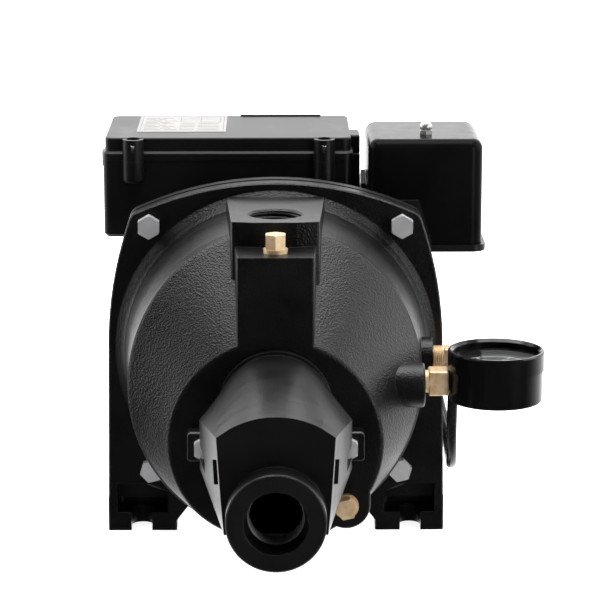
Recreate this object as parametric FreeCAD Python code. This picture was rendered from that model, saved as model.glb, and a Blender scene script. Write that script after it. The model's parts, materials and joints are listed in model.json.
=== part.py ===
"""Shallow well jet pump: cast pump end, bolted-on ejector, finned motor, terminal box,
pressure switch with its sensing tube, and a pressure gauge.

Millimetres. The model is drawn about the motor shaft: X to the right seen from the
suction end, Y from the suction end towards the motor, Z up, with Y = 0 on the front
face of the casing flange. Writing a part raises it by SHAFT_HEIGHT, so the feet
stand on Z = 0.
"""
import FreeCAD, Part
import math
import os

V = FreeCAD.Vector
X_AXIS, Y_AXIS, Z_AXIS = V(1, 0, 0), V(0, 1, 0), V(0, 0, 1)

# ---------------------------------------------------------------- driving dimensions
SHAFT_HEIGHT = 116.0          # shaft axis above the feet

# bolted flange between casing and motor adapter
FLANGE_HALF_W = 102.2         # middle of each side
FLANGE_HALF_H = 102.6         # middle of top and bottom
FLANGE_CORNER_X = 87.5
FLANGE_CORNER_Z = 83.0
FLANGE_CORNER_R = 8.0
CASING_FLANGE_T = 12.0
GASKET_T = 1.2
ADAPTER_T = 12.0
FLANGE_CHAMFER = 0.9
RIM_STEP = 2.5                # gasket and the faces it joins stand back from the rim
RIM_FRONT_T, RIM_BACK_Y0, RIM_BACK_Y1 = 10.0, 14.0, 21.6
FLANGE_BOLT = 76.5            # half the square bolt spacing, 5/16 in bolts
FLANGE_BOLT_R = 3.97
FLANGE_BOLT_AF = 12.7
BOLT_CLEARANCE = 0.25

# casing: a band round the shaft, ended by a sloping edge, then an oblique cone to a round pad
EDGE_R, BAND_SLIM_Y = 85.8, -50.0
BAND_PROFILE = ((98.0, 0.0), (94.4, -3.0), (91.8, -8.0), (89.8, -17.0), (88.0, -32.0))
CAVITY_PROFILE = ((87.0, -2.0), (84.6, -17.0), (82.4, -30.0))
EDGE_Y = -78.0                # where the edge plane crosses the shaft
EDGE_SLOPE_X, EDGE_SLOPE_Z = 0.092, 0.268
EDGE_BEVEL = 1.2
PAD_R, PAD_Y, PAD_Z = 61.0, -112.0, -29.0
CASING_WALL = 7.0
CAVITY_R = 87.0

# feet, cast in one with the casing, and their open bolt slots
FOOT_INNER_X, FOOT_OUTER_X = 61.4, 103.8
FOOT_TOP = -104.4
FOOT_BACK_Y = 62.0
LEG_BACK_Y, LEG_TOP = 26.5, -94.6
GUSSET_X, GUSSET_Z = 42.0, -84.4
SLOT_X, SLOT_HALF_W, SLOT_END_Y = 83.2, 6.4, 11.6
POCKET_INNER_X, POCKET_OUTER_X = 67.0, 98.0

# ports: 1 in NPT suction and discharge, 1/4 in NPT service ports
PORT_R = 15.1
PORT_CHAMFER = 1.2
RECESS_R, RECESS_DEPTH = 17.0, 10.5     # tapered mouth ahead of the suction thread
SUCTION_THREAD = 16.0
SERVICE_R = 6.65
PLUG_R = 6.6
DISCHARGE_Y, DISCHARGE_TOP = -56.0, 94.5
DISCHARGE_THREAD = 24.5
STEP_TOP = 80.0
PRIMING_Y = -97.0
DRAIN_X, DRAIN_Z, DRAIN_FACE_Y = 40.3, -65.5, -112.0
GAUGE_Y, GAUGE_Z = -80.0, 0.0
GAUGE_BOSS_Z = -2.4
TUBE_PORT_Y, TUBE_PORT_Z = -30.0, 2.0
GAUGE_BOSS_X, TUBE_BOSS_X = 86.5, 93.8

# ejector housing
EJECTOR_GASKET_T = 1.0
EJECTOR_Z = -30.6             # suction port and pad share this height
EJECTOR_SHOULDER_Y = -132.0
EJECTOR_FRONT_Y = -241.0
SUCTION_FACE_Y = -256.0
SUCTION_COLLAR_R = 26.5
EJECTOR_BOLT_X, EJECTOR_BOLT_Z = 40.0, -27.0
EJECTOR_BOLT_R = 3.97         # 5/16 in
EJECTOR_BOLT_AF = 12.4
EAR_FRONT_Y = -124.5
EAR_HALF_H = 8.8
DRIVE_PORT_Z = -58.0          # drive water leaves the casing here

# motor
ADAPTER_FRONT = CASING_FLANGE_T + GASKET_T
ADAPTER_BACK = ADAPTER_FRONT + ADAPTER_T
MOTOR_FACE_Y = 50.0
SHELL_FRONT_Y, SHELL_BACK_Y = 64.0, 158.0
REAR_SHIELD_Y = 170.0
MOTOR_BACK_Y = 197.0
SHELL_BORE_R, SHELL_R, FIN_R = 50.0, 56.0, 69.0
FIN_COUNT, FIN_T = 32, 2.4
ROTOR_R, STATOR_BORE_R = 27.6, 28.1
CORE_FRONT_Y, CORE_BACK_Y = 80.0, 144.0
SHAFT_R = 7.94                # 5/8 in through the seal
STUD_R = 4.5                  # threaded end that takes the impeller nut
BEARING_FRONT_R, BEARING_REAR_R = 8.5, 7.5

# terminal box
BOX_X0, BOX_X1 = -107.8, 48.2
BOX_Y0, BOX_Y1 = 62.0, 155.0
BOX_Z0, BOX_SEAM_Z, BOX_Z1 = 57.0, 106.0, 120.0
BOX_WALL = 3.0
BOX_CORNER_R = 5.0
BOX_SADDLE_R = 69.6
COLUMN_XS = (-88.7, 30.6)
COLUMN_R, COLUMN_BOTTOM = 6.6, 92.0
COLUMN_Y = 60.8
COLUMN_HOLE_R = 4.3
LABEL_X0, LABEL_X1, LABEL_Y0 = -87.8, -31.4, 86.0

# pressure switch
SWITCH_X0, SWITCH_X1 = 57.8, 129.0
SWITCH_Y0, SWITCH_Y1 = 45.5, 127.5
SWITCH_Z0, SWITCH_Z1 = 55.0, 121.0
SWITCH_CORNER_R, SWITCH_RIM_R = 9.0, 6.4
SWITCH_BASE_T = 4.4
STUD_X, STUD_Y = 94.6, 72.0
SPRING_X, SPRING_Y, SPRING_GAP = 80.0, 88.0, 22.0
LEVER_X, LEVER_Z, LEVER_PIN_R = 74.0, 76.0, 1.55
COVER_WALL = 1.6
PORT_X, PORT_Y = 80.0, 88.0   # pressure port under the switch
NIPPLE_Y, NIPPLE_Z, NIPPLE_R = 100.0, 79.5, 10.6

# pressure gauge, dial facing up
GAUGE_X, GAUGE_R = 127.9, 27.2
GAUGE_Z0, GAUGE_Z1 = -11.0, 19.0
BEZEL_Z = 7.8
DIAL_Z = 8.6
NEEDLE_REST = 225.0           # degrees from +X, the zero mark of a 270 degree scale

# sensing tube, 1/4 in; its route is a short list of hand-placed points
TUBE_R = 3.175
TUBE_ROUTE = ((106.5, -30.0, -21.0), (106.0, -29.0, -46.5), (108.0, -8.0, -72.4),
              (109.0, 24.0, -78.0), (108.0, 55.0, -64.0), (101.0, 77.0, -36.0),
              (90.0, 86.5, -7.0), (80.0, 88.0, 21.0))


# ---------------------------------------------------------------- shape helpers
def cyl(r, y0, y1, x=0.0, z=0.0):
    return Part.makeCylinder(r, y1 - y0, V(x, y0, z), Y_AXIS)


def cyl_x(r, x0, x1, y, z):
    return Part.makeCylinder(r, x1 - x0, V(x0, y, z), X_AXIS)


def cyl_z(r, z0, z1, x, y):
    return Part.makeCylinder(r, z1 - z0, V(x, y, z0), Z_AXIS)


def ring(r_out, r_in, y0, y1, x=0.0, z=0.0):
    return cyl(r_out, y0, y1, x, z).cut(cyl(r_in, y0 - 1, y1 + 1, x, z))


def box(x0, x1, y0, y1, z0, z1):
    return Part.makeBox(x1 - x0, y1 - y0, z1 - z0, V(x0, y0, z0))


def fuse(first, *others):
    return first.fuse(list(others)).removeSplitter()


def cut(first, *others):
    return first.cut(list(others))


def polygon(points):
    return Part.Wire(Part.makePolygon([V(*p) for p in points] + [V(*points[0])]))


def prism_y(points, y0, y1):
    """A closed XZ outline carried from y0 to y1."""
    return Part.Face(polygon([(x, y0, z) for x, z in points])).extrude(V(0, y1 - y0, 0))


def prism_x(points, x0, x1):
    """A closed YZ outline carried from x0 to x1."""
    return Part.Face(polygon([(x0, y, z) for y, z in points])).extrude(V(x1 - x0, 0, 0))


def prism_z(points, z0, z1):
    return Part.Face(polygon([(x, y, z0) for x, y in points])).extrude(V(0, 0, z1 - z0))


def turned(profile, x=0.0, z=0.0):
    """A solid turned about the Y direction from (radius, y) points."""
    face = Part.Face(polygon([(x + r, y, z) for r, y in profile]))
    return face.revolve(V(x, 0, z), Y_AXIS, 360)


def turned_z(profile, x, y):
    """A solid turned about a vertical axis from (radius, z) points."""
    face = Part.Face(polygon([(x + r, y, z) for r, z in profile]))
    return face.revolve(V(x, y, 0), Z_AXIS, 360)


def turned_x(profile, y, z):
    """A solid turned about the X direction from (radius, x) points."""
    face = Part.Face(polygon([(x, y, z + r) for r, x in profile]))
    return face.revolve(V(0, y, z), X_AXIS, 360)


def hexagon(across_flats, centre, normal, height, turn=0.0):
    """A hexagonal prism standing on centre along normal; turn in degrees."""
    radius = across_flats / math.sqrt(3)
    corners = [V(radius * math.cos(math.radians(60 * i + turn)),
                 radius * math.sin(math.radians(60 * i + turn)), 0) for i in range(6)]
    solid = Part.Face(Part.makePolygon(corners + corners[:1])).extrude(V(0, 0, height))
    solid.Placement = FreeCAD.Placement(V(*centre), FreeCAD.Rotation(Z_AXIS, normal))
    return solid


def hex_head(across_flats, centre, normal, height, turn=0.0):
    """A hexagonal head whose outer corners are turned off."""
    blank = hexagon(across_flats, centre, normal, height, turn)
    radius = across_flats / math.sqrt(3)
    bevel = Part.makeCone(radius + height, 0.93 * radius, height, V(*centre), normal)
    return blank.common(bevel)


def edges_where(shape, test):
    return [edge for edge in shape.Edges if test(edge)]


def upright(edge):
    """True for a straight edge that runs straight up."""
    ends = [v.Point for v in edge.Vertexes]
    return (len(ends) == 2 and abs(ends[0].x - ends[1].x) < 1e-4
            and abs(ends[0].y - ends[1].y) < 1e-4)


def at_y(edge, y):
    bounds = edge.BoundBox
    return abs(bounds.YMin - y) < 1e-3 and abs(bounds.YMax - y) < 1e-3


def at_z(edge, z):
    bounds = edge.BoundBox
    return abs(bounds.ZMin - z) < 1e-3 and abs(bounds.ZMax - z) < 1e-3


def rounded_block(x0, x1, y0, y1, z0, z1, corner, top=0.0):
    """A block with rounded upright corners and, if top is given, a rounded top rim."""
    block = box(x0, x1, y0, y1, z0, z1)
    block = block.makeFillet(corner, edges_where(block, upright))
    if top:
        block = block.makeFillet(top, edges_where(block, lambda e: at_z(e, z1)))
    return block


def mirror_x(shape):
    return shape.mirror(V(0, 0, 0), X_AXIS)


def both_sides(shape):
    return [shape, mirror_x(shape)]


def around(shape, count, start=0.0):
    """Copies of a shape turned about the shaft."""
    copies = []
    for i in range(count):
        copy = shape.copy()
        copy.rotate(V(0, 0, 0), Y_AXIS, start + 360.0 * i / count)
        copies.append(copy)
    return copies


def coil(radius, wire_r, pitch, turns, x, y, z):
    """A coil spring standing on (x, y, z), its axis vertical."""
    helix = Part.makeHelix(pitch, pitch * turns, radius)
    section = Part.Wire(Part.makeCircle(wire_r, V(radius, 0, 0), Y_AXIS))
    spring = Part.Wire(helix.Edges).makePipeShell([section], True, True)
    spring.translate(V(x, y, z))
    return spring


def save(node, *solids):
    shape = solids[0] if len(solids) == 1 else Part.makeCompound(list(solids))
    shape = shape.copy()
    shape.translate(V(0, 0, SHAFT_HEIGHT))
    shape.exportStep("parts/" + node + ".step")
    print(f"{node:24s} solids {len(shape.Solids):2d}  valid {shape.isValid()}  "
          f"volume {shape.Volume / 1000:9.2f} cm3")


# ---------------------------------------------------------------- flange outline
def flange_plate(y0, y1, inset=0.0):
    """The bulged square that casing, gasket and adapter share, drawn in by inset."""
    cx, cz = FLANGE_CORNER_X - inset, FLANGE_CORNER_Z - inset
    half_w, half_h = FLANGE_HALF_W - inset, FLANGE_HALF_H - inset
    sides = [Part.Arc(V(-cx, y0, cz), V(0, y0, half_h), V(cx, y0, cz)),
             Part.Arc(V(cx, y0, cz), V(half_w, y0, 0), V(cx, y0, -cz)),
             Part.Arc(V(cx, y0, -cz), V(0, y0, -half_h), V(-cx, y0, -cz)),
             Part.Arc(V(-cx, y0, -cz), V(-half_w, y0, 0), V(-cx, y0, cz))]
    outline = Part.Wire([side.toShape() for side in sides])
    plate = Part.Face(outline).extrude(V(0, y1 - y0, 0))
    corners = edges_where(plate, lambda e: e.BoundBox.YLength > (y1 - y0) * 0.9)
    return plate.makeFillet(FLANGE_CORNER_R, corners)


def flange_holes(radius, y0, y1):
    return [cyl(radius, y0, y1, sx * FLANGE_BOLT, sz * FLANGE_BOLT)
            for sx in (-1, 1) for sz in (-1, 1)]


# ---------------------------------------------------------------- pump end
def circle_y(r, y, z=0.0):
    return Part.Wire(Part.makeCircle(r, V(0, y, z), Y_AXIS))


def edge_ring(inset, ahead):
    """The sloping front edge of the band, drawn in by inset and moved ahead along Y."""
    slope = math.hypot(EDGE_SLOPE_X, EDGE_SLOPE_Z)
    radius = EDGE_R - inset
    centre = V(0, EDGE_Y - ahead, 0)
    long_end = V(EDGE_SLOPE_X / slope, slope, EDGE_SLOPE_Z / slope) * radius
    short_end = V(-EDGE_SLOPE_Z / slope, 0, EDGE_SLOPE_X / slope) * radius
    ellipse = Part.Ellipse(centre + long_end, centre + short_end, centre)
    return Part.Wire(ellipse.toShape())


def casing_outside():
    beyond = PAD_Y - 5
    band = turned([(0, CASING_FLANGE_T / 2), (BAND_PROFILE[0][0], CASING_FLANGE_T / 2),
                   *BAND_PROFILE, (EDGE_R, BAND_SLIM_Y), (EDGE_R, beyond), (0, beyond)])
    ahead_of_edge = Part.Face(edge_ring(-30, 0)).extrude(V(0, beyond, 0))
    bevel = Part.makeLoft([edge_ring(0, 0), edge_ring(EDGE_BEVEL, EDGE_BEVEL)], True, True)
    cone = Part.makeLoft([edge_ring(EDGE_BEVEL, EDGE_BEVEL), circle_y(PAD_R, PAD_Y, PAD_Z)],
                         True, True)
    cone = cone.makeFillet(3.0, edges_where(cone, lambda e: at_y(e, PAD_Y)))
    return fuse(band.cut(ahead_of_edge), bevel, cone)


def discharge_block():
    """The square boss over the discharge port and the rib that runs down to the pad."""
    boss = prism_z([(-29.6, -2), (29.6, -2), (25.5, -80), (12, -82.6), (-12, -82.6),
                    (-25.5, -80)], 40, DISCHARGE_TOP)
    boss = boss.makeFillet(2.0, edges_where(boss, upright))
    rib = prism_z([(-24.4, -60), (24.4, -60), (21.8, PAD_Y), (-21.8, PAD_Y)], 10, STEP_TOP)
    rib = rib.makeFillet(1.2, edges_where(rib, upright))
    return boss, rib


def service_bosses():
    gauge = cyl_x(13.0, 40, GAUGE_BOSS_X, GAUGE_Y, GAUGE_BOSS_Z)
    gauge = gauge.makeFillet(1.5, edges_where(gauge, lambda e: e.BoundBox.XMin > 80
                                              and e.BoundBox.XLength < 1))
    tube = cyl_x(12.0, 60, TUBE_BOSS_X, TUBE_PORT_Y, TUBE_PORT_Z)
    drain = fuse(cyl(14.0, DRAIN_FACE_Y, -60, DRAIN_X, DRAIN_Z),
                 box(DRAIN_X - 14, DRAIN_X + 14, DRAIN_FACE_Y, -60, DRAIN_Z, -40))
    drain = drain.makeFillet(1.5, edges_where(drain, lambda e: at_y(e, DRAIN_FACE_Y)))
    return gauge, tube, drain


def casing_cavity():
    throat_r = EDGE_R - CASING_WALL
    throat_y = BAND_SLIM_Y + 2
    band = turned([(0, CASING_FLANGE_T + 1), (CAVITY_R, CASING_FLANGE_T + 1),
                   *CAVITY_PROFILE, (throat_r, throat_y), (0, throat_y)])
    cone = Part.makeLoft([circle_y(throat_r, throat_y), circle_y(PAD_R - 9, PAD_Y + 8, PAD_Z + 2)],
                         True)
    return band, cone


def leg():
    """Right-hand leg: the flange carried down to a foot, with a pocket over the bolt slot."""
    ground = -SHAFT_HEIGHT
    plate = prism_y([(GUSSET_X, 0), (FLANGE_HALF_W, 0), (FOOT_OUTER_X, ground),
                     (FOOT_INNER_X, ground), (FOOT_INNER_X, FOOT_TOP - 5),
                     (GUSSET_X, GUSSET_Z)], 0, CASING_FLANGE_T)
    block = box(FOOT_INNER_X, FOOT_OUTER_X, 0, LEG_BACK_Y, ground, LEG_TOP)
    foot = box(FOOT_INNER_X, FOOT_OUTER_X, 0, FOOT_BACK_Y, ground, FOOT_TOP)
    brace = prism_x([(CASING_FLANGE_T - 1, FOOT_TOP - 1), (FOOT_BACK_Y - 6, FOOT_TOP - 1),
                     (CASING_FLANGE_T - 1, -70)], POCKET_OUTER_X - 0.5, FOOT_OUTER_X)
    pocket = prism_x([(-1, -85.5), (0, -86), (8.5, -88), (8.5, -97), (20, -99), (20, FOOT_TOP),
                      (-1, FOOT_TOP)], POCKET_INNER_X, POCKET_OUTER_X)
    pocket = pocket.makeFillet(3.0, edges_where(pocket, lambda e: upright(e) and at_y(e, 20)))
    slot = fuse(cyl_z(SLOT_HALF_W, ground - 1, FOOT_TOP + 1, SLOT_X, SLOT_END_Y),
                box(SLOT_X - SLOT_HALF_W, SLOT_X + SLOT_HALF_W, -1, SLOT_END_Y,
                    ground - 1, FOOT_TOP + 1))
    body = fuse(plate, block, foot, brace)
    rims = edges_where(body, lambda e: at_y(e, 0) and e.BoundBox.ZMin < -1
                       and (e.BoundBox.XMin > FLANGE_HALF_W - 1 or upright(e)))
    body = body.makeChamfer(FLANGE_CHAMFER, rims)
    return body.cut(fuse(pocket, slot))


def pump_casing():
    flange = flange_plate(0, RIM_FRONT_T)
    flange = flange.makeChamfer(FLANGE_CHAMFER, edges_where(flange, lambda e: at_y(e, 0)))
    joint_face = flange_plate(RIM_FRONT_T - 1, CASING_FLANGE_T, RIM_STEP)
    outside = fuse(flange, joint_face, *both_sides(leg()), casing_outside(),
                   *discharge_block(), *service_bosses())
    shell = cut(outside, *casing_cavity())
    eye_tube = cyl(20.0, PAD_Y + 4, -62)
    thread_end = DISCHARGE_TOP - DISCHARGE_THREAD
    port_collar = cyl_z(21.0, thread_end, 88, 0, DISCHARGE_Y)
    shell = fuse(shell, eye_tube, port_collar)
    below = PORT_R - 1.2
    mouth = PORT_R + PORT_CHAMFER
    port = turned_z([(0, 48), (below, 48), (below, thread_end), (PORT_R, thread_end),
                     (PORT_R, DISCHARGE_TOP - PORT_CHAMFER), (mouth, DISCHARGE_TOP),
                     (mouth, DISCHARGE_TOP + 2), (0, DISCHARGE_TOP + 2)], 0, DISCHARGE_Y)
    ejector_bolt_holes = [cyl(EJECTOR_BOLT_R + 0.05, PAD_Y - 1, PAD_Y + 16, sx * EJECTOR_BOLT_X,
                              EJECTOR_BOLT_Z) for sx in (-1, 1)]
    bolt_pads = [cyl(9.0, PAD_Y + 4, PAD_Y + 18, sx * EJECTOR_BOLT_X, EJECTOR_BOLT_Z)
                 for sx in (-1, 1)]
    shell = fuse(shell, *bolt_pads)
    return cut(shell, port, cyl(13.6, PAD_Y - 1, -60), cyl(18.3, -76, -60),
               cyl(9.0, PAD_Y - 1, PAD_Y + 12, 0, DRIVE_PORT_Z),
               cyl_z(SERVICE_R, 28, STEP_TOP + 1, 0, PRIMING_Y),
               cyl_x(SERVICE_R, 57, GAUGE_BOSS_X + 1, GAUGE_Y, GAUGE_Z),
               cyl_x(SERVICE_R, 78, TUBE_BOSS_X + 1, TUBE_PORT_Y, TUBE_PORT_Z),
               cyl(SERVICE_R, DRAIN_FACE_Y - 1, -80, DRAIN_X, DRAIN_Z),
               *ejector_bolt_holes,
               *flange_holes(FLANGE_BOLT_R + BOLT_CLEARANCE, -1, CASING_FLANGE_T + 1))


def casing_gasket():
    plate = flange_plate(CASING_FLANGE_T, ADAPTER_FRONT, RIM_STEP)
    return cut(plate, cyl(CAVITY_R, 0, 20),
               *flange_holes(FLANGE_BOLT_R + BOLT_CLEARANCE, 0, 20))


# ---------------------------------------------------------------- ejector
def ejector_section(y, top_z, *side_points):
    """Arch between the first point of each side, then down both sides to a narrow foot.

    side_points are (x, z): where the arch ends, the corner, the knee and the foot."""
    first_x, first_z = side_points[0]
    arch = Part.Arc(V(first_x, y, first_z), V(0, y, top_z), V(-first_x, y, first_z))
    side = [V(-x, y, z) for x, z in side_points] + [V(x, y, z) for x, z in side_points[::-1]]
    lines = [Part.LineSegment(a, b).toShape() for a, b in zip(side, side[1:])]
    return Part.Wire([arch.toShape()] + lines)


def ejector_outside():
    base_y = PAD_Y - EJECTOR_GASKET_T
    rear = ejector_section(EJECTOR_SHOULDER_Y, 24.5, (28.6, 8.6), (43.0, -8.6), (43.0, -37.0),
                           (31.6, -70.5))
    front = ejector_section(EJECTOR_FRONT_Y, 22.8, (24.0, 16.5), (31.2, 11.6), (28.9, -24.0),
                            (27.4, -41.2))
    root = ejector_section(base_y, 25.0, (28.0, 8.6), (29.5, 4.0), (29.5, -44.0), (27.0, -70.0))
    body = Part.makeLoft([rear, front], True, True)
    shoulder = Part.makeLoft([root, rear], True, True)
    collar = turned([(0, SUCTION_FACE_Y + 25), (SUCTION_COLLAR_R, SUCTION_FACE_Y + 25),
                     (SUCTION_COLLAR_R, SUCTION_FACE_Y + 0.8),
                     (SUCTION_COLLAR_R - 0.8, SUCTION_FACE_Y), (0, SUCTION_FACE_Y)],
                    0, EJECTOR_Z)
    neck_ring = cyl(32.6, base_y - 4, base_y, 0, -5.6)
    foot_pad = cyl(22.0, base_y - 6, base_y, 0, DRIVE_PORT_Z + 6)
    ear = rounded_block(-50.3, 50.3, EAR_FRONT_Y, base_y, EJECTOR_BOLT_Z - EAR_HALF_H,
                        EJECTOR_BOLT_Z + EAR_HALF_H, 0.6)
    ear_rims = edges_where(ear, lambda e: abs(abs(e.CenterOfMass.x) - 50) < 1.0
                           and e.BoundBox.YLength > 8)
    ear = ear.makeFillet(2.5, ear_rims)
    return fuse(body, shoulder, collar, neck_ring, foot_pad, ear)


def ejector_chambers():
    """Drive chamber round the suction tube, suction chamber, and the passages between."""
    rear = ejector_section(-186.0, 16.0, (26.5, -2.0), (26.5, -34.0), (20.0, -52.0))
    front = ejector_section(EJECTOR_FRONT_Y + 8, 14.5, (22.8, 4.0), (22.8, -24.0), (19.0, -35.0))
    drive = Part.makeLoft([rear, front], True, True)
    suction_wall = cyl(19.2, -240, -180, 0, EJECTOR_Z)
    drive = drive.cut(suction_wall)
    drive_passage = Part.makeLoft([circle_y(9.0, PAD_Y + 1, DRIVE_PORT_Z),
                                   circle_y(7.5, -190.0, -47.0)], True)
    mouth_y = SUCTION_FACE_Y - 1
    thread_y = SUCTION_FACE_Y + RECESS_DEPTH
    thread_end = thread_y + SUCTION_THREAD
    suction = turned([(0, mouth_y), (RECESS_R, mouth_y), (RECESS_R, SUCTION_FACE_Y),
                      (PORT_R, thread_y), (PORT_R, thread_end), (14.0, thread_end + 2),
                      (14.0, -160), (0, -160)], 0, EJECTOR_Z)
    suction_chamber = cyl(17.0, -179, -155, 0, -3.0)
    link = box(-14, 14, -179, -160, EJECTOR_Z, -3.0)
    venturi_seat = cyl(12.5, -156, PAD_Y)
    nozzle_thread = cyl(9.0, -188, -178)
    return (drive, drive_passage, suction, suction_chamber, link, venturi_seat,
            nozzle_thread)


def side_pockets():
    """Shallow cored pockets in the flat flanks."""
    outline = [(-235.0, -1.8), (-209.5, -9.2), (-209.5, -22.9), (-235.0, -15.4)]
    return both_sides(prism_x(outline, 28.0, 48.0))


def ejector_housing():
    bolt_holes = [cyl(EJECTOR_BOLT_R + BOLT_CLEARANCE, -160, PAD_Y, sx * EJECTOR_BOLT_X,
                      EJECTOR_BOLT_Z) for sx in (-1, 1)]
    head_relief = [cyl(7.6, -134, EAR_FRONT_Y, sx * EJECTOR_BOLT_X, EJECTOR_BOLT_Z)
                   for sx in (-1, 1)]
    return cut(ejector_outside(), *ejector_chambers(), *side_pockets(), *bolt_holes,
               *head_relief)


def ejector_gasket():
    y0 = PAD_Y - EJECTOR_GASKET_T
    disc = fuse(cyl(30.0, y0, PAD_Y, 0, -6.0), cyl(22.0, y0, PAD_Y, 0, DRIVE_PORT_Z + 6),
                box(-49.5, 49.5, y0, PAD_Y, EJECTOR_BOLT_Z - 8, EJECTOR_BOLT_Z + 8))
    holes = [cyl(EJECTOR_BOLT_R + BOLT_CLEARANCE, y0 - 1, PAD_Y + 1, sx * EJECTOR_BOLT_X,
                 EJECTOR_BOLT_Z) for sx in (-1, 1)]
    return cut(disc, cyl(13.0, y0 - 1, PAD_Y + 1), cyl(9.0, y0 - 1, PAD_Y + 1, 0, DRIVE_PORT_Z),
               *holes)


def hex_bolt(x, z, head_back, across_flats, shank_r, head_h, length, turn):
    """A bolt along +Y whose head bears on the plane y = head_back."""
    head = hex_head(across_flats, (x, head_back, z), V(0, -1, 0), head_h, turn)
    return fuse(head, cyl(shank_r, head_back, head_back + length, x, z))


def nozzle():
    body = turned([(0, -196), (6.5, -196), (8.9, -188), (8.9, -178.2), (8.0, -177), (4.6, -158),
                   (0, -158)])
    collar = hexagon(18.0, (0, -192, 0), Y_AXIS, 3.9, 30)
    bore = turned([(0, -197), (5.6, -197), (5.0, -180), (2.9, -164), (2.9, -157), (0, -157)])
    return cut(fuse(body, collar), bore)


def venturi_tube():
    outside = turned([(0, -156), (12.4, -156), (12.4, -74), (11.0, -72), (0, -72)])
    bore = turned([(0, -157), (10.6, -157), (5.2, -147), (5.2, -138), (9.6, -71), (0, -71)])
    return outside.cut(bore)


def diffuser():
    """Moulded guide-vane body in front of the impeller, its neck plugged into the eye tube."""
    plate = turned([(0, -38), (24, -38), (29, -32), (70, -28), (72, -20), (72, 2), (66, 2),
                    (66, -17), (26, -25), (0, -25)])
    neck = cyl(18.0, -74, -24)
    vane = prism_y([(64, -2), (80, 14), (82, 12), (68, -4)], -16, 2)
    body = fuse(plate, neck, *around(vane, 9))
    eye = turned([(0, -75), (13.0, -75), (13.0, -42), (16.4, -31.5), (19.7, -31.5),
                  (19.7, -21), (0, -21)])
    return body.cut(eye)


def impeller():
    back = turned([(0, 4), (62, 4), (62, 1.5), (14, -4), (0, -4)])
    hub = cyl(12.5, -6, 11)
    front = turned([(18.4, -30), (19.2, -30), (19.2, -22), (30, -14.5), (62, -9.5), (62, -7.5),
                    (29, -12.5), (16.5, -20.5), (16.5, -30)])
    vane = vane_wedge()
    body = fuse(back, hub, front, *around(vane, 6))
    return cut(body, cyl(SHAFT_R + 0.02, -3, 12), cyl(STUD_R + 0.05, -7, 0))


def vane_wedge():
    """One backward-curved blade between the shrouds."""
    inner_r, outer_r, thick, sweep = 15.0, 61.0, 2.2, 62.0
    steps = 7
    pressure, suction = [], []
    for i in range(steps):
        t = i / (steps - 1)
        radius = inner_r + (outer_r - inner_r) * t
        angle = math.radians(sweep * t)
        half = thick / 2 / radius
        pressure.append((radius * math.cos(angle - half), radius * math.sin(angle - half)))
        suction.append((radius * math.cos(angle + half), radius * math.sin(angle + half)))
    blade = prism_y(pressure + suction[::-1], -22, 3)
    between = turned([(13, 2), (61.5, 2), (61.5, -8.4), (29, -13.4), (17.5, -21), (13, -21)])
    return blade.common(between)


# ---------------------------------------------------------------- shaft seal
def seal_seat():
    return ring(17.3, 9.2, 27.0, 35.5)


def seal_rotary():
    """Carbon face in its bellows cup."""
    face = ring(12.6, SHAFT_R + 0.05, 22.5, 26.95)
    cup = turned([(SHAFT_R + 0.05, 22.4), (15.4, 22.4), (15.4, 17.5), (14.6, 17.5), (14.6, 21.4),
                  (10.6, 21.4), (10.6, 12.2), (SHAFT_R + 0.05, 12.2)])
    return face, cup


def seal_spring():
    spring = coil(13.0, 0.9, 3.4, 2, 0, 0, 0)
    spring.rotate(V(0, 0, 0), X_AXIS, -90)
    spring.translate(V(0, 12.9, 0))
    return spring


def slinger():
    return turned([(SHAFT_R + 0.05, 39), (17, 39), (17, 41), (11, 43), (SHAFT_R + 0.05, 43)])


# ---------------------------------------------------------------- motor adapter
def motor_adapter():
    spigot = ring(CAVITY_R - 0.4, 80.0, 5.0, ADAPTER_FRONT)
    hub = cyl(27.0, ADAPTER_FRONT, 37.0)
    lantern = ring(66.0, 60.0, ADAPTER_BACK - 1, MOTOR_FACE_Y)
    motor_flange = ring(69.5, 54.0, MOTOR_FACE_Y - 6, MOTOR_FACE_Y)
    ribs = around(box(25.0, 62.0, ADAPTER_BACK - 1, 36, -3, 3), 4, 45)
    windows = [box(-80, -40, 28, 43, -22, 22), box(40, 80, 28, 43, -22, 22),
               box(-22, 22, 28, 43, -80, -40)]
    body = fuse(flange_plate(ADAPTER_FRONT, ADAPTER_BACK, RIM_STEP),
                flange_plate(RIM_BACK_Y0, RIM_BACK_Y1), spigot, hub, lantern, motor_flange, *ribs)
    bores = [cyl(20.0, 0, 27.0), cyl(17.4, 26, 36.0), cyl(10.0, 30, 40)]
    tapped = around(cyl(2.6, MOTOR_FACE_Y - 12, MOTOR_FACE_Y + 1, 62.0, 0), 4, 45)
    return cut(body, *windows, *bores, *tapped,
               *flange_holes(FLANGE_BOLT_R + 0.05, ADAPTER_FRONT - 1, ADAPTER_BACK + 1))


# ---------------------------------------------------------------- motor
def motor_front_shield():
    body = turned([(9.4, 50.0), (69.5, 50.0), (69.5, 64.0), (58, 64.0), (58, 57), (26, 57),
                   (26, 66), (20.05, 66), (20.05, 53), (9.4, 53)])
    spigot = ring(SHELL_BORE_R - 0.1, 46.0, 63.9, 68.0)
    link = ring(58.1, 45.9, 60.0, 64.0)
    holes = around(cyl(2.9, 45, 70, 62.0, 0), 4, 45)
    return cut(fuse(body, link, spigot), *holes)


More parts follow.
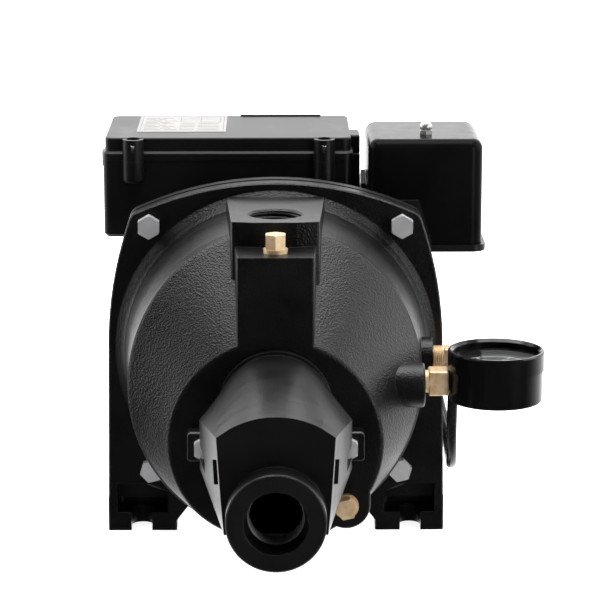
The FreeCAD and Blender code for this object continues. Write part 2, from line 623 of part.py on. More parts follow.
def motor_shell():
    """Extruded aluminium body with radial fins and bolt lugs at the ends."""
    outline = []
    for i in range(FIN_COUNT):
        middle = 2 * math.pi * i / FIN_COUNT
        for radius, side in ((SHELL_R, -1), (FIN_R, -1), (FIN_R, 1), (SHELL_R, 1)):
            half = FIN_T / 2 / radius if radius == FIN_R else FIN_T / 2 / radius * 1.25
            angle = middle + side * half
            outline.append((radius * math.cos(angle), radius * math.sin(angle)))
    body = prism_y(outline, SHELL_FRONT_Y, SHELL_BACK_Y)
    lugs = around(cyl(6.0, SHELL_FRONT_Y, SHELL_BACK_Y, 62.0, 0), 4, 45)
    holes = around(cyl(2.9, SHELL_FRONT_Y - 1, SHELL_BACK_Y + 1, 62.0, 0), 4, 45)
    wire_hole = cyl_z(9.0, 40, 75, -12.0, 105.0)
    return cut(fuse(body, *lugs), cyl(SHELL_BORE_R, SHELL_FRONT_Y - 1, SHELL_BACK_Y + 1),
               wire_hole, *holes)


def stator_core():
    slots = around(box(33.0, 43.0, CORE_FRONT_Y - 1, CORE_BACK_Y + 1, -2.4, 2.4), 24)
    mouths = around(box(27.0, 34.0, CORE_FRONT_Y - 1, CORE_BACK_Y + 1, -0.9, 0.9), 24)
    body = ring(SHELL_BORE_R - 0.05, STATOR_BORE_R, CORE_FRONT_Y, CORE_BACK_Y)
    return cut(body, *slots, *mouths)


def stator_windings():
    """Copper end turns at both ends and the conductors in the slots."""
    ends = []
    for y0, y1 in ((CORE_FRONT_Y - 10.5, CORE_FRONT_Y - 0.3),
                   (CORE_BACK_Y + 0.3, CORE_BACK_Y + 10.5)):
        overhang = turned([(33.5, y0), (43.0, y0), (44.5, y0 + 2), (44.5, y1 - 2), (43.0, y1),
                           (33.5, y1), (31.5, y1 - 2), (31.5, y0 + 2)])
        ends.append(overhang)
    bars = around(box(33.4, 42.6, CORE_FRONT_Y - 1.5, CORE_BACK_Y + 1.5, -2.0, 2.0), 24)
    return fuse(ends[0], ends[1], *bars)


def rear_shield():
    body = turned([(8.4, 168.5), (8.4, REAR_SHIELD_Y), (24, REAR_SHIELD_Y), (24, 164),
                   (66.0, 164), (70.2, 162), (70.2, SHELL_BACK_Y), (23, SHELL_BACK_Y),
                   (23, 156.5), (17.55, 156.5), (17.55, 168.5)])
    holes = around(cyl(2.9, 150, 172, 62.0, 0), 4, 45)
    return cut(body, *holes)


def fan_cover():
    """Pressed steel cowl, open at the front, with a louvred air inlet at the back."""
    outside = turned([(0, SHELL_BACK_Y - 2), (71.5, SHELL_BACK_Y - 2), (71.5, MOTOR_BACK_Y - 6),
                      (65.5, MOTOR_BACK_Y), (0, MOTOR_BACK_Y)])
    inside = turned([(0, SHELL_BACK_Y - 3), (70.3, SHELL_BACK_Y - 3), (70.3, MOTOR_BACK_Y - 6.5),
                     (65.0, MOTOR_BACK_Y - 1.3), (0, MOTOR_BACK_Y - 1.3)])
    inlets = []
    for r_in, r_out, count in ((16.0, 30.0, 12), (33.0, 45.0, 18), (48.0, 60.0, 24)):
        inlets += around(box(r_in, r_out, MOTOR_BACK_Y - 3, MOTOR_BACK_Y + 1, -1.9, 1.9), count)
    return cut(outside, inside, *inlets)


def through_bolts():
    bolt = fuse(hex_head(8.0, (62, 164.1, 0), Y_AXIS, 4.0), cyl(2.5, 40, 164.1, 62, 0))
    return around(bolt, 4, 45)


def motor_shaft():
    return turned([(0, -14), (STUD_R, -14), (STUD_R, -3), (SHAFT_R, -3), (SHAFT_R, 44),
                   (BEARING_FRONT_R, 44.5), (BEARING_FRONT_R, 66), (11, 66.5), (11, 154),
                   (BEARING_REAR_R, 156),
                   (BEARING_REAR_R, 170), (6.0, 171), (6.0, 189), (0, 189)])


def impeller_nut():
    """Cap nut and washer that hold the impeller on the shaft."""
    cap = turned([(0, -18), (3.5, -17.5), (6.4, -15), (6.4, -13), (0, -13)])
    nut = fuse(cap, hexagon(14.0, (0, -13.5, 0), Y_AXIS, 6.0), cyl(10.0, -7.6, -6.1))
    return nut.cut(cyl(STUD_R + 0.05, -14.5, -6))


def rotor_core():
    stack = ring(ROTOR_R, 11.05, CORE_FRONT_Y, CORE_BACK_Y)
    end_rings = [ring(26.5, 17.0, CORE_FRONT_Y - 5, CORE_FRONT_Y),
                 ring(26.5, 17.0, CORE_BACK_Y, CORE_BACK_Y + 5)]
    blades = around(box(20, 25.5, CORE_FRONT_Y - 9, CORE_FRONT_Y - 4, -0.9, 0.9), 10)
    blades += around(box(20, 25.5, CORE_BACK_Y + 4, CORE_BACK_Y + 9, -0.9, 0.9), 10)
    return fuse(stack, *end_rings, *blades)


def bearing(inner_r, outer_r, width, y0):
    """Outer ring, and inner ring with its balls, of a deep-groove bearing."""
    middle = (inner_r + outer_r) / 2
    ball_r = (outer_r - inner_r) * 0.29
    y_mid = y0 + width / 2
    groove = Part.makeTorus(middle, ball_r + 0.06, V(0, y_mid, 0), Y_AXIS)
    seat = Part.makeTorus(middle, ball_r + 0.02, V(0, y_mid, 0), Y_AXIS)
    outer = ring(outer_r, middle + ball_r * 0.62, y0, y0 + width).cut(groove)
    inner = ring(middle - ball_r * 0.62, inner_r, y0, y0 + width).cut(seat)
    balls = around(Part.makeSphere(ball_r, V(middle, y_mid, 0)), 8)
    return outer, [inner] + balls


def cooling_fan():
    hub = ring(13.0, 6.05, 174, 188)
    disc = ring(56.0, 12.5, 174, 176)
    blades = around(box(22.0, 60.0, 175.5, 188.5, -1.0, 1.0), 9)
    return fuse(hub, disc, *blades)


# ---------------------------------------------------------------- terminal box
def box_columns(z0, z1, radius):
    """The two screw columns on the front wall."""
    return [cyl_z(radius, z0, z1, x, COLUMN_Y) for x in COLUMN_XS]


def terminal_box_base():
    outside = rounded_block(BOX_X0, BOX_X1, BOX_Y0, BOX_Y1, BOX_Z0, BOX_SEAM_Z, BOX_CORNER_R)
    outside = outside.makeChamfer(2.0, edges_where(outside, lambda e: at_z(e, BOX_Z0)))
    inside = box(BOX_X0 + BOX_WALL, BOX_X1 - BOX_WALL, BOX_Y0 + BOX_WALL, BOX_Y1 - BOX_WALL,
                 BOX_Z0 + BOX_WALL, BOX_SEAM_Z + 1)
    floor = cyl(BOX_SADDLE_R + BOX_WALL, BOX_Y0, BOX_Y1)
    columns = [column.makeFillet(2.5, edges_where(column, lambda e: at_z(e, COLUMN_BOTTOM)))
               for column in box_columns(COLUMN_BOTTOM, BOX_SEAM_Z, COLUMN_R)]
    tab = rounded_block(BOX_X0 - 2.6, BOX_X0 + 4, 94, 108, BOX_SEAM_Z - 9, BOX_SEAM_Z, 2.0)
    entry = box(BOX_X1 - 1, BOX_X1 + 5.5, 88, 112, 60, BOX_SEAM_Z - 1)
    shell = fuse(outside.cut(inside.cut(floor)), tab, entry, *columns)
    nipple_hole = cyl_x(NIPPLE_R + 0.05, BOX_X1 - 10, BOX_X1 + 10, NIPPLE_Y, NIPPLE_Z)
    gland_hole = cyl(10.05, BOX_Y1 - 10, BOX_Y1 + 5, -70.0, 78.0)
    return cut(shell, cyl(BOX_SADDLE_R, BOX_Y0 - 5, BOX_Y1 + 5), nipple_hole, gland_hole,
               cyl_z(9.0, 60, 80, -12.0, 105.0), *box_columns(COLUMN_BOTTOM + 3, 120, 1.8))


def terminal_box_lid():
    outside = rounded_block(BOX_X0 + 1.3, BOX_X1 - 0.8, BOX_Y0 + 0.8, BOX_Y1 - 0.5, BOX_SEAM_Z,
                            BOX_Z1, BOX_CORNER_R, 1.2)
    lip = rounded_block(BOX_X0 - 0.1, BOX_X1 + 0.6, BOX_Y0 - 0.8, BOX_Y1 + 0.6, BOX_SEAM_Z,
                        BOX_SEAM_Z + 5.5, BOX_CORNER_R + 0.6)
    lip = lip.makeChamfer(1.4, edges_where(lip, lambda e: at_z(e, BOX_SEAM_Z + 5.5)))
    inside = box(BOX_X0 + 4, BOX_X1 - 4, BOX_Y0 + 4, BOX_Y1 - 4, BOX_SEAM_Z - 1, BOX_Z1 - 3)
    columns = box_columns(BOX_SEAM_Z, BOX_Z1 - 0.4, COLUMN_R)
    rear_strip = box(-22.6, 29.8, BOX_Y1 - 4.5, BOX_Y1 - 2, BOX_Z1 - 1, BOX_Z1 + 0.9)
    side_lug = rounded_block(BOX_X1 - 2, BOX_X1 + 5.5, 88, 112, BOX_SEAM_Z, BOX_Z1 - 2.5, 2.0, 1.5)
    body = fuse(fuse(outside, lip).cut(inside), rear_strip, side_lug, *columns)
    sight_slots = [box(x - 1.1, x + 1.1, COLUMN_Y - 8, COLUMN_Y, BOX_Z1 - 8, BOX_Z1 - 3.6)
                   for x in COLUMN_XS]
    return cut(body, *box_columns(BOX_SEAM_Z - 1, BOX_Z1 + 1, 2.1),
               *box_columns(BOX_Z1 - 8, BOX_Z1 + 1, COLUMN_HOLE_R), *sight_slots)


def lid_screws():
    screws, y, seat = [], COLUMN_Y, BOX_Z1 - 8
    for x in COLUMN_XS:
        head = cyl_z(3.6, seat, seat + 3.2, x, y)
        shank = cyl_z(1.75, BOX_SEAM_Z - 10, seat, x, y)
        blades = [box(x - 2.6, x + 2.6, y - 0.45, y + 0.45, seat + 1.6, seat + 4),
                  box(x - 0.45, x + 0.45, y - 2.6, y + 2.6, seat + 1.6, seat + 4)]
        screws.append(cut(fuse(head, shank), *blades))
    return screws


def rating_label():
    return box(LABEL_X0, LABEL_X1, LABEL_Y0, BOX_Y1 - 2.4, BOX_Z1, BOX_Z1 + 0.2)


def run_capacitor():
    can = cyl_x(15.5, -98, -38, 120, 88.5)
    can = can.makeFillet(2.0, edges_where(can, lambda e: e.BoundBox.XLength < 0.01))
    return can


def terminal_block():
    body = box(-34, 26, 84, 100, 75, 88)
    posts = [box(-33 + 12 * i, -23 + 12 * i, 85.5, 98.5, 87, 94) for i in range(5)]
    holes = [cyl_z(2.2, 84, 95, -28 + 12 * i, 92) for i in range(5)]
    return cut(fuse(body, *posts), *holes)


def cord_gland():
    """Strain relief for the mains lead in the rear wall of the box."""
    z, x = 78.0, -70.0
    thread = cyl(10.0, BOX_Y1 - 8, BOX_Y1 + 0.01, x, z)
    nut = hexagon(26.0, (x, BOX_Y1 - BOX_WALL - 5.0, z), Y_AXIS, 4.9)
    body = hexagon(26.0, (x, BOX_Y1 + 0.01, z), Y_AXIS, 5.0)
    dome = turned([(0, BOX_Y1 + 5), (12.4, BOX_Y1 + 5), (12.4, BOX_Y1 + 13), (8.5, BOX_Y1 + 19),
                   (0, BOX_Y1 + 19)], x, z)
    return cut(fuse(thread, nut, body, dome), cyl(4.5, BOX_Y1 - 12, BOX_Y1 + 21, x, z))


# ---------------------------------------------------------------- pressure switch
def conduit_nipple():
    return cyl_x(NIPPLE_R, BOX_X1 - 7, SWITCH_X0 + 8, NIPPLE_Y, NIPPLE_Z).cut(
        cyl_x(8.0, BOX_X1 - 12, SWITCH_X0 + 12, NIPPLE_Y, NIPPLE_Z))


def conduit_locknuts():
    nuts = []
    for x0 in (BOX_X1 - BOX_WALL - 3.2, SWITCH_X0 - 3.2, SWITCH_X0 + COVER_WALL + 2.2):
        nut = hexagon(24.0, (x0, NIPPLE_Y, NIPPLE_Z), X_AXIS, 3.0)
        nuts.append(nut.cut(cyl_x(NIPPLE_R + 0.05, x0 - 1, x0 + 5, NIPPLE_Y, NIPPLE_Z)))
    return nuts


def switch_bracket():
    """Bent steel strap from the upper right flange bolt to the switch base."""
    t = 2.5
    y0 = ADAPTER_BACK
    shelf_z = SWITCH_Z0 - SWITCH_BASE_T
    wall = prism_y([(64, shelf_z - t), (96, shelf_z - t), (96, 62), (88, 87), (64, 87)],
                   y0, y0 + t)
    shelf = box(64, 96, y0, 112, shelf_z - t, shelf_z)
    hole = cyl_z(8.3, 40, 60, PORT_X, PORT_Y)
    bolt = cyl(FLANGE_BOLT_R + BOLT_CLEARANCE, y0 - 1, y0 + 5, FLANGE_BOLT, FLANGE_BOLT)
    screw_holes = [cyl_z(2.3, 40, 60, PORT_X, y) for y in (PORT_Y - 17, PORT_Y + 17)]
    return cut(fuse(wall, shelf), hole, bolt, *screw_holes)


def switch_base():
    z0 = SWITCH_Z0 - SWITCH_BASE_T
    plate = rounded_block(SWITCH_X0 - 1.0, SWITCH_X1 + 2.4, SWITCH_Y0 - 1.0, SWITCH_Y1 + 1.0,
                          z0, SWITCH_Z0, SWITCH_CORNER_R)
    plate = plate.makeFillet(0.8, edges_where(plate, lambda e: at_z(e, z0)))
    end_wall = box(SWITCH_X0 + COVER_WALL + 0.3, SWITCH_X0 + COVER_WALL + 2.1, 84, 110.6,
                   SWITCH_Z0 - 0.5, NIPPLE_Z + 16)
    hole = cyl_z(8.3, 40, 60, PORT_X, PORT_Y)
    screw_holes = [cyl_z(2.3, 40, 60, PORT_X, y) for y in (PORT_Y - 17, PORT_Y + 17)]
    return cut(fuse(plate, end_wall), hole, *screw_holes,
               cyl_x(NIPPLE_R + 0.05, SWITCH_X0 - 2, SWITCH_X0 + 12, NIPPLE_Y, NIPPLE_Z))


def switch_cover():
    """Deep-drawn steel cover, open at the bottom, notched where the nipple enters."""
    outside = rounded_block(SWITCH_X0, SWITCH_X1, SWITCH_Y0, SWITCH_Y1, SWITCH_Z0 + 0.1,
                            SWITCH_Z1, SWITCH_CORNER_R, SWITCH_RIM_R)
    w = COVER_WALL
    inside = rounded_block(SWITCH_X0 + w, SWITCH_X1 - w, SWITCH_Y0 + w, SWITCH_Y1 - w,
                           SWITCH_Z0 - 2, SWITCH_Z1 - w, SWITCH_CORNER_R - w, SWITCH_RIM_R - w)
    notch = fuse(cyl_x(NIPPLE_R + 0.4, SWITCH_X0 - 2, SWITCH_X0 + 3, NIPPLE_Y, NIPPLE_Z),
                 box(SWITCH_X0 - 2, SWITCH_X0 + 3, NIPPLE_Y - NIPPLE_R - 0.4,
                     NIPPLE_Y + NIPPLE_R + 0.4, SWITCH_Z0 - 2, NIPPLE_Z))
    return cut(outside, inside, notch, cyl_z(2.6, 110, 125, STUD_X, STUD_Y))


def switch_stud():
    return cyl_z(2.4, SWITCH_Z0 + 0.1, SWITCH_Z1 + 4.0, STUD_X, STUD_Y)


def switch_cover_nut():
    """Acorn nut on the stud."""
    base = hexagon(7.4, (STUD_X, STUD_Y, SWITCH_Z1), Z_AXIS, 2.2, 30)
    dome = Part.makeSphere(3.9, V(STUD_X, STUD_Y, SWITCH_Z1 + 4.4))
    return fuse(base, dome).cut(cyl_z(2.45, SWITCH_Z1 - 1, SWITCH_Z1 + 4.6, STUD_X, STUD_Y))


def switch_springs():
    range_spring = coil(6.5, 0.9, 3.6, 7, SPRING_X, SPRING_Y, 85.5)
    cut_out_spring = coil(4.0, 0.7, 2.8, 6, SPRING_X + SPRING_GAP, SPRING_Y, 85.5)
    return range_spring, cut_out_spring


def spring_posts():
    """Studs through the two springs, with the nuts that set cut-in and cut-out."""
    tall = fuse(cyl_z(2.9, 84.0, 114, SPRING_X, SPRING_Y),
                hexagon(11.0, (SPRING_X, SPRING_Y, 112.6), Z_AXIS, 4.5))
    short = fuse(cyl_z(1.9, 84.0, 104, SPRING_X + SPRING_GAP, SPRING_Y),
                 hexagon(8.0, (SPRING_X + SPRING_GAP, SPRING_Y, 103.6), Z_AXIS, 4.0))
    washers = [cyl_z(7.6, 84.0, 84.5, SPRING_X, SPRING_Y),
               cyl_z(5.0, 84.0, 84.5, SPRING_X + SPRING_GAP, SPRING_Y)]
    frame = box(70, 108, 78, 98, 81.5, 84.0)
    cheeks = [box(70, 108, y0, y0 + 2, SWITCH_Z0 + 0.1, 82) for y0 in (78, 96)]
    pin = fuse(*cheeks, frame, tall, short, *washers)
    return pin.cut(cyl(LEVER_PIN_R, 70, 100, LEVER_X, LEVER_Z))


def contact_lever():
    """Rocking lever that the diaphragm's plunger lifts; it opens the contacts."""
    arm = box(72, 118, 84, 92, 73.0, 75.0)
    pin = cyl(LEVER_PIN_R - 0.05, 78.2, 97.8, LEVER_X, LEVER_Z)
    eye = cyl(3.2, 84, 92, LEVER_X, LEVER_Z)
    bridge = box(114, 118, 84, 104, 73.0, 75.0)
    contacts = [cyl_z(2.2, 71.8, 73.2, 116, y) for y in (87, 101)]
    return fuse(arm, eye, pin, bridge, *contacts)


def contact_block():
    """Moulded terminal strip with the fixed contacts."""
    body = box(109.5, 125, 80, 112, SWITCH_Z0 + 0.1, 66)
    posts = [cyl_z(2.6, 65.5, 71.7, 116, y) for y in (87, 101)]
    return fuse(body, *posts)


def diaphragm_housing():
    """Cast cup under the base, with the plunger and its 1/4 in port."""
    shelf = SWITCH_Z0 - SWITCH_BASE_T - 2.5
    cup = turned_z([(0, 38), (9.5, 38), (10.5, 41), (18.0, 44), (18.0, shelf), (0, shelf)],
                   PORT_X, PORT_Y)
    neck = cyl_z(7.7, shelf - 0.5, SWITCH_Z0 + 3, PORT_X, PORT_Y)
    plunger = cyl_z(3.0, SWITCH_Z0 + 2, 72.9, PORT_X, PORT_Y)
    return cut(fuse(cup, neck, plunger), cyl_z(SERVICE_R, 30, 46, PORT_X, PORT_Y))


# ---------------------------------------------------------------- gauge
def gauge_case():
    outside = cyl_z(GAUGE_R, GAUGE_Z0, BEZEL_Z, GAUGE_X, GAUGE_Y)
    outside = outside.makeFillet(1.2, edges_where(outside, lambda e: at_z(e, GAUGE_Z0)))
    inside = cyl_z(GAUGE_R - 1.6, GAUGE_Z0 + 1.8, GAUGE_Z1, GAUGE_X, GAUGE_Y)
    boss = cyl_x(6.6, GAUGE_X - GAUGE_R - 0.6, GAUGE_X - GAUGE_R + 6, GAUGE_Y, GAUGE_Z)
    hole = cyl_x(4.6, GAUGE_X - GAUGE_R - 3, GAUGE_X - GAUGE_R + 8, GAUGE_Y, GAUGE_Z)
    return cut(fuse(outside.cut(inside), boss), hole)


def gauge_bezel():
    """Rim that snaps over the case and holds the window."""
    return turned_z([(GAUGE_R - 1.5, BEZEL_Z), (GAUGE_R + 0.9, BEZEL_Z),
                     (GAUGE_R + 0.9, GAUGE_Z1 - 0.9), (GAUGE_R + 0.2, GAUGE_Z1),
                     (GAUGE_R - 0.7, GAUGE_Z1), (GAUGE_R - 2.4, GAUGE_Z1 - 1.6),
                     (GAUGE_R - 2.4, GAUGE_Z1 - 3.4), (GAUGE_R - 1.5, GAUGE_Z1 - 3.4)],
                    GAUGE_X, GAUGE_Y)


def gauge_window():
    return cyl_z(GAUGE_R - 1.7, GAUGE_Z1 - 5.2, GAUGE_Z1 - 3.5, GAUGE_X, GAUGE_Y)


def gauge_dial():
    return cyl_z(GAUGE_R - 1.7, DIAL_Z - 0.8, DIAL_Z, GAUGE_X, GAUGE_Y).cut(
        cyl_z(1.6, DIAL_Z - 2, DIAL_Z + 1, GAUGE_X, GAUGE_Y))


def gauge_pointer():
    """Needle on its spindle, lying over the zero mark at rest."""
    hub = cyl_z(2.6, DIAL_Z + 0.8, DIAL_Z + 2.4, GAUGE_X, GAUGE_Y)
    spindle = cyl_z(1.2, DIAL_Z - 3.6, DIAL_Z + 1.5, GAUGE_X, GAUGE_Y)
    needle = prism_z([(-6.0, -1.1), (19.5, -0.35), (19.5, 0.35), (-6.0, 1.1)], 1.1, 1.9)
    needle.rotate(V(0, 0, 0), Z_AXIS, NEEDLE_REST)
    needle.translate(V(GAUGE_X, GAUGE_Y, DIAL_Z))
    return fuse(hub, spindle, needle)


def bourdon_tube():
    """Curved pressure element and its socket inside the gauge."""
    curve = Part.makeTorus(17.0, 2.2, V(GAUGE_X, GAUGE_Y, -2.0), Z_AXIS)
    gap = prism_z([(GAUGE_X, GAUGE_Y), (GAUGE_X - 15, GAUGE_Y - 30), (GAUGE_X + 30, GAUGE_Y - 30)],
                  -8, 6)
    movement = box(GAUGE_X - 5, GAUGE_X + 5, GAUGE_Y - 4, GAUGE_Y + 4, -4.5, 1.0)
    return curve.cut(gap), movement


def gauge_stem():
    """Square brass block between the casing port and the gauge."""
    x0, x1 = GAUGE_BOSS_X + 2.2, GAUGE_BOSS_X + 13.5
    block = box(x0, x1, GAUGE_Y - 6.7, GAUGE_Y + 6.7, GAUGE_Z - 7.3, GAUGE_Z + 7.3)
    block = block.makeChamfer(0.7, block.Edges)
    thread = cyl_x(PLUG_R, GAUGE_BOSS_X - 13, x0 + 1, GAUGE_Y, GAUGE_Z)
    neck = cyl_x(4.5, x1 - 1, GAUGE_X - GAUGE_R + 7.8, GAUGE_Y, GAUGE_Z)
    shank = cyl_x(6.3, GAUGE_BOSS_X - 1, x0 + 1, GAUGE_Y, GAUGE_Z)
    return cut(fuse(block, thread, neck, shank), cyl_x(1.8, 60, GAUGE_X, GAUGE_Y, GAUGE_Z))


# ---------------------------------------------------------------- sensing line
def casing_elbow():
    """Brass elbow from the casing to the sensing tube, its outlet pointing down."""
    x_turn = TUBE_ROUTE[0][0]
    y, z = TUBE_PORT_Y, TUBE_PORT_Z
    run = cyl_x(PLUG_R, TUBE_BOSS_X - 13, x_turn - 1, y, z)
    threads = [turned_x([(0, x0), (PLUG_R, x0), (PLUG_R + 0.55, x0 + 0.45), (PLUG_R, x0 + 0.9),
                         (0, x0 + 0.9)], y, z)
               for x0 in [TUBE_BOSS_X + 0.6 + 1.15 * i for i in range(5)]]
    corner = rounded_block(x_turn - 6.3, x_turn + 6.3, y - 6.3, y + 6.3, z - 6.3, z + 6.3, 2.0, 1.5)
    drop = cyl_z(5.6, z - 15.5, z - 5, x_turn, y)
    bore = fuse(cyl_x(2.4, TUBE_BOSS_X - 14, x_turn, y, z), cyl_z(2.4, z - 17, z, x_turn, y))
    return cut(fuse(run, *threads, corner, drop), bore)


def switch_fitting():
    """Straight brass connector in the bottom of the diaphragm cup."""
    body = hex_head(14.3, (PORT_X, PORT_Y, 33.0), Z_AXIS, 4.9)
    thread = cyl_z(PLUG_R, 37, 45, PORT_X, PORT_Y)
    tail = cyl_z(5.6, 27, 33.5, PORT_X, PORT_Y)
    return cut(fuse(body, thread, tail), cyl_z(2.4, 20, 50, PORT_X, PORT_Y))


def compression_nut(x, y, top, bottom):
    """Hexagonal nut over the end of the tube."""
    low, high = min(top, bottom), max(top, bottom)
    nut = hexagon(14.3, (x, y, low), Z_AXIS, high - low)
    bored = nut.cut(cyl_z(TUBE_R + 0.1, low - 1, high + 1, x, y))
    inner = cyl_z(5.7, min(top, bottom) + 4, max(top, bottom) + 1, x, y)
    return bored.cut(inner)


def compression_nuts():
    x, y, z = TUBE_ROUTE[0]
    first = compression_nut(x, y, z + 10, z + 1)
    x, y, z = TUBE_ROUTE[-1]
    second = compression_nut(x, y, z + 10, z + 1)
    return first, second


def rounded_path(points):
    """Straight runs joined by tangent arcs as large as the runs allow."""
    nodes = [V(*p) for p in points]
    edges, start, radii = [], nodes[0], []
    for before, corner, after in zip(nodes, nodes[1:], nodes[2:]):
        run_in, run_out = (before - corner), (after - corner)
        reach = 0.45 * min(run_in.Length, run_out.Length)
        turn = math.pi - run_in.getAngle(run_out)
        radii.append(reach / math.tan(turn / 2))
        a = corner + run_in.normalize() * reach
        b = corner + run_out.normalize() * reach
        bisector = (run_in + run_out).normalize()
        sagitta = radii[-1] * (1 / math.cos(turn / 2) - 1)
        edges.append(Part.LineSegment(start, a).toShape())
        edges.append(Part.Arc(a, corner + bisector * sagitta, b).toShape())
        start = b
    edges.append(Part.LineSegment(start, nodes[-1]).toShape())
    print("tube radii:", [round(r, 1) for r in radii])
    return Part.Wire(edges)


def sensing_tube():
    path = rounded_path(TUBE_ROUTE)
    start = path.OrderedVertexes[0].Point
    direction = V(*TUBE_ROUTE[1]) - V(*TUBE_ROUTE[0])
    section = Part.Wire(Part.makeCircle(TUBE_R, start, direction))
    tube = path.makePipeShell([section], True, False)
    expected = math.pi * TUBE_R ** 2 * path.Length
    print(f"tube length {path.Length:.1f} mm, volume ratio {tube.Volume / expected:.4f}")
    return tube


# ---------------------------------------------------------------- brass plugs
def priming_plug():
    collar = cyl_z(6.9, STEP_TOP, STEP_TOP + 2.4, 0, PRIMING_Y)
    head = hex_head(11.2, (0, PRIMING_Y, STEP_TOP + 2.4), Z_AXIS, 8.4, 30)
    return fuse(collar, head, cyl_z(PLUG_R, STEP_TOP - 12, STEP_TOP + 1, 0, PRIMING_Y))


def drain_plug():
    collar = cyl(7.2, DRAIN_FACE_Y - 2.2, DRAIN_FACE_Y, DRAIN_X, DRAIN_Z)
    head = hex_head(11.2, (DRAIN_X, DRAIN_FACE_Y - 2.2, DRAIN_Z), V(0, -1, 0), 6.5, 12)
    return fuse(collar, head, cyl(PLUG_R, DRAIN_FACE_Y - 1, DRAIN_FACE_Y + 12, DRAIN_X, DRAIN_Z))


# ---------------------------------------------------------------- write every part
def main():
    os.makedirs("parts", exist_ok=True)

    save("pump_casing", pump_casing())
    save("casing_gasket", casing_gasket())
    save("ejector_housing", ejector_housing())
    save("ejector_gasket", ejector_gasket())
    save("ejector_bolts", *[hex_bolt(sx * EJECTOR_BOLT_X, EJECTOR_BOLT_Z, EAR_FRONT_Y,
                                     EJECTOR_BOLT_AF, EJECTOR_BOLT_R, 5.6, 26, 30)
                            for sx in (-1, 1)])
    save("nozzle", nozzle())
    save("venturi_tube", venturi_tube())
    save("diffuser", diffuser())
    save("impeller", impeller())
    save("impeller_nut", impeller_nut())
    save("flange_bolts", *[hex_bolt(sx * FLANGE_BOLT, sz * FLANGE_BOLT, 0, FLANGE_BOLT_AF,
                                    FLANGE_BOLT_R, 6.2, 34, 30 if sz > 0 else 14)
                           for sx in (-1, 1) for sz in (-1, 1)])
    save("motor_adapter", motor_adapter())
    save("seal_seat", seal_seat())
    save("seal_rotary", *seal_rotary())
    save("seal_spring", seal_spring())
    save("slinger", slinger())

    front_outer, front_inner = bearing(BEARING_FRONT_R, 20.0, 12.0, 53.0)
    rear_outer, rear_inner = bearing(BEARING_REAR_R, 17.5, 11.0, 157.0)
    save("bearing_outer_rings", front_outer, rear_outer)
    save("bearing_inner_rings", *front_inner, *rear_inner)
    save("motor_shaft", motor_shaft())
    save("rotor_core", rotor_core())
    save("stator_core", stator_core())
    save("stator_windings", stator_windings())
    save("motor_front_shield", motor_front_shield())
    save("motor_shell", motor_shell())
    save("rear_shield", rear_shield())
    save("cooling_fan", cooling_fan())
    save("fan_cover", fan_cover())
    save("through_bolts", *through_bolts())

    save("terminal_box_base", terminal_box_base())
    save("terminal_box_lid", terminal_box_lid())
    save("lid_screws", *lid_screws())
    save("rating_label", rating_label())
    save("run_capacitor", run_capacitor())
    save("terminal_block", terminal_block())
    save("cord_gland", cord_gland())
    save("conduit_nipple", conduit_nipple())
    save("conduit_locknuts", *conduit_locknuts())

    save("switch_bracket", switch_bracket())
    save("switch_base", switch_base())
    save("switch_cover", switch_cover())
    save("switch_stud", switch_stud())
    save("switch_cover_nut", switch_cover_nut())
    save("switch_springs", *switch_springs())
    save("spring_frame", spring_posts())
    save("contact_lever", contact_lever())
    save("contact_block", contact_block())
    save("diaphragm_housing", diaphragm_housing())

    save("gauge_case", gauge_case())
    save("gauge_bezel", gauge_bezel())
    save("gauge_window", gauge_window())
    save("gauge_dial", gauge_dial())
    save("gauge_pointer", gauge_pointer())
    save("gauge_stem", gauge_stem())
    save("bourdon_tube", *bourdon_tube())

    save("casing_elbow", casing_elbow())
    save("switch_fitting", switch_fitting())
    save("compression_nuts", *compression_nuts())
    save("sensing_tube", sensing_tube())
    save("priming_plug", priming_plug())
    save("drain_plug", drain_plug())


main()
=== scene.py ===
"""Looks of a cast-iron shallow well jet pump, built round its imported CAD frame."""
import json
import math

import bmesh
import bpy
from mathutils import Matrix, Vector


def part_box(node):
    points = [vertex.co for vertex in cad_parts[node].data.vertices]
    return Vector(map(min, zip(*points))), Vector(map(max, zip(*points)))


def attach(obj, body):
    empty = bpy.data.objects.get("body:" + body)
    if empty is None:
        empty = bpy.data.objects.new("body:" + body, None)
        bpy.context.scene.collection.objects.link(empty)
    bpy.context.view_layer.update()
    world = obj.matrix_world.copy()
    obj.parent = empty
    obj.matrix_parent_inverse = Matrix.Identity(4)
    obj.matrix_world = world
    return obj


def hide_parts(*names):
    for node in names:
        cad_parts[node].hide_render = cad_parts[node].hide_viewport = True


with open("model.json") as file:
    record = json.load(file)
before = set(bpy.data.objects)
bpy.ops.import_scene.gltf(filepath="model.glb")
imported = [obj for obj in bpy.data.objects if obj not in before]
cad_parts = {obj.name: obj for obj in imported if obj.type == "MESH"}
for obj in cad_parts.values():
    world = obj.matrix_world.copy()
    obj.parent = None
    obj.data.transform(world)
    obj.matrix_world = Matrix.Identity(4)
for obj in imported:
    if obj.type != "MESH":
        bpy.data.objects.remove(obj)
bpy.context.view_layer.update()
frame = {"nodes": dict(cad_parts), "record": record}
nodes = frame["nodes"]
scene = bpy.context.scene
MM = 0.001


# ---------------------------------------------------------------- camera
CAMERA_PLACE = (0, -1.5429, 0.4969)
CAMERA_DOWN = 12.8            # degrees below level
CAMERA_TURN = -0.551          # degrees about Z
CAMERA_LENS = 156             # on a sensor of CAMERA_SENSOR, both in millimetres
CAMERA_SENSOR = 36


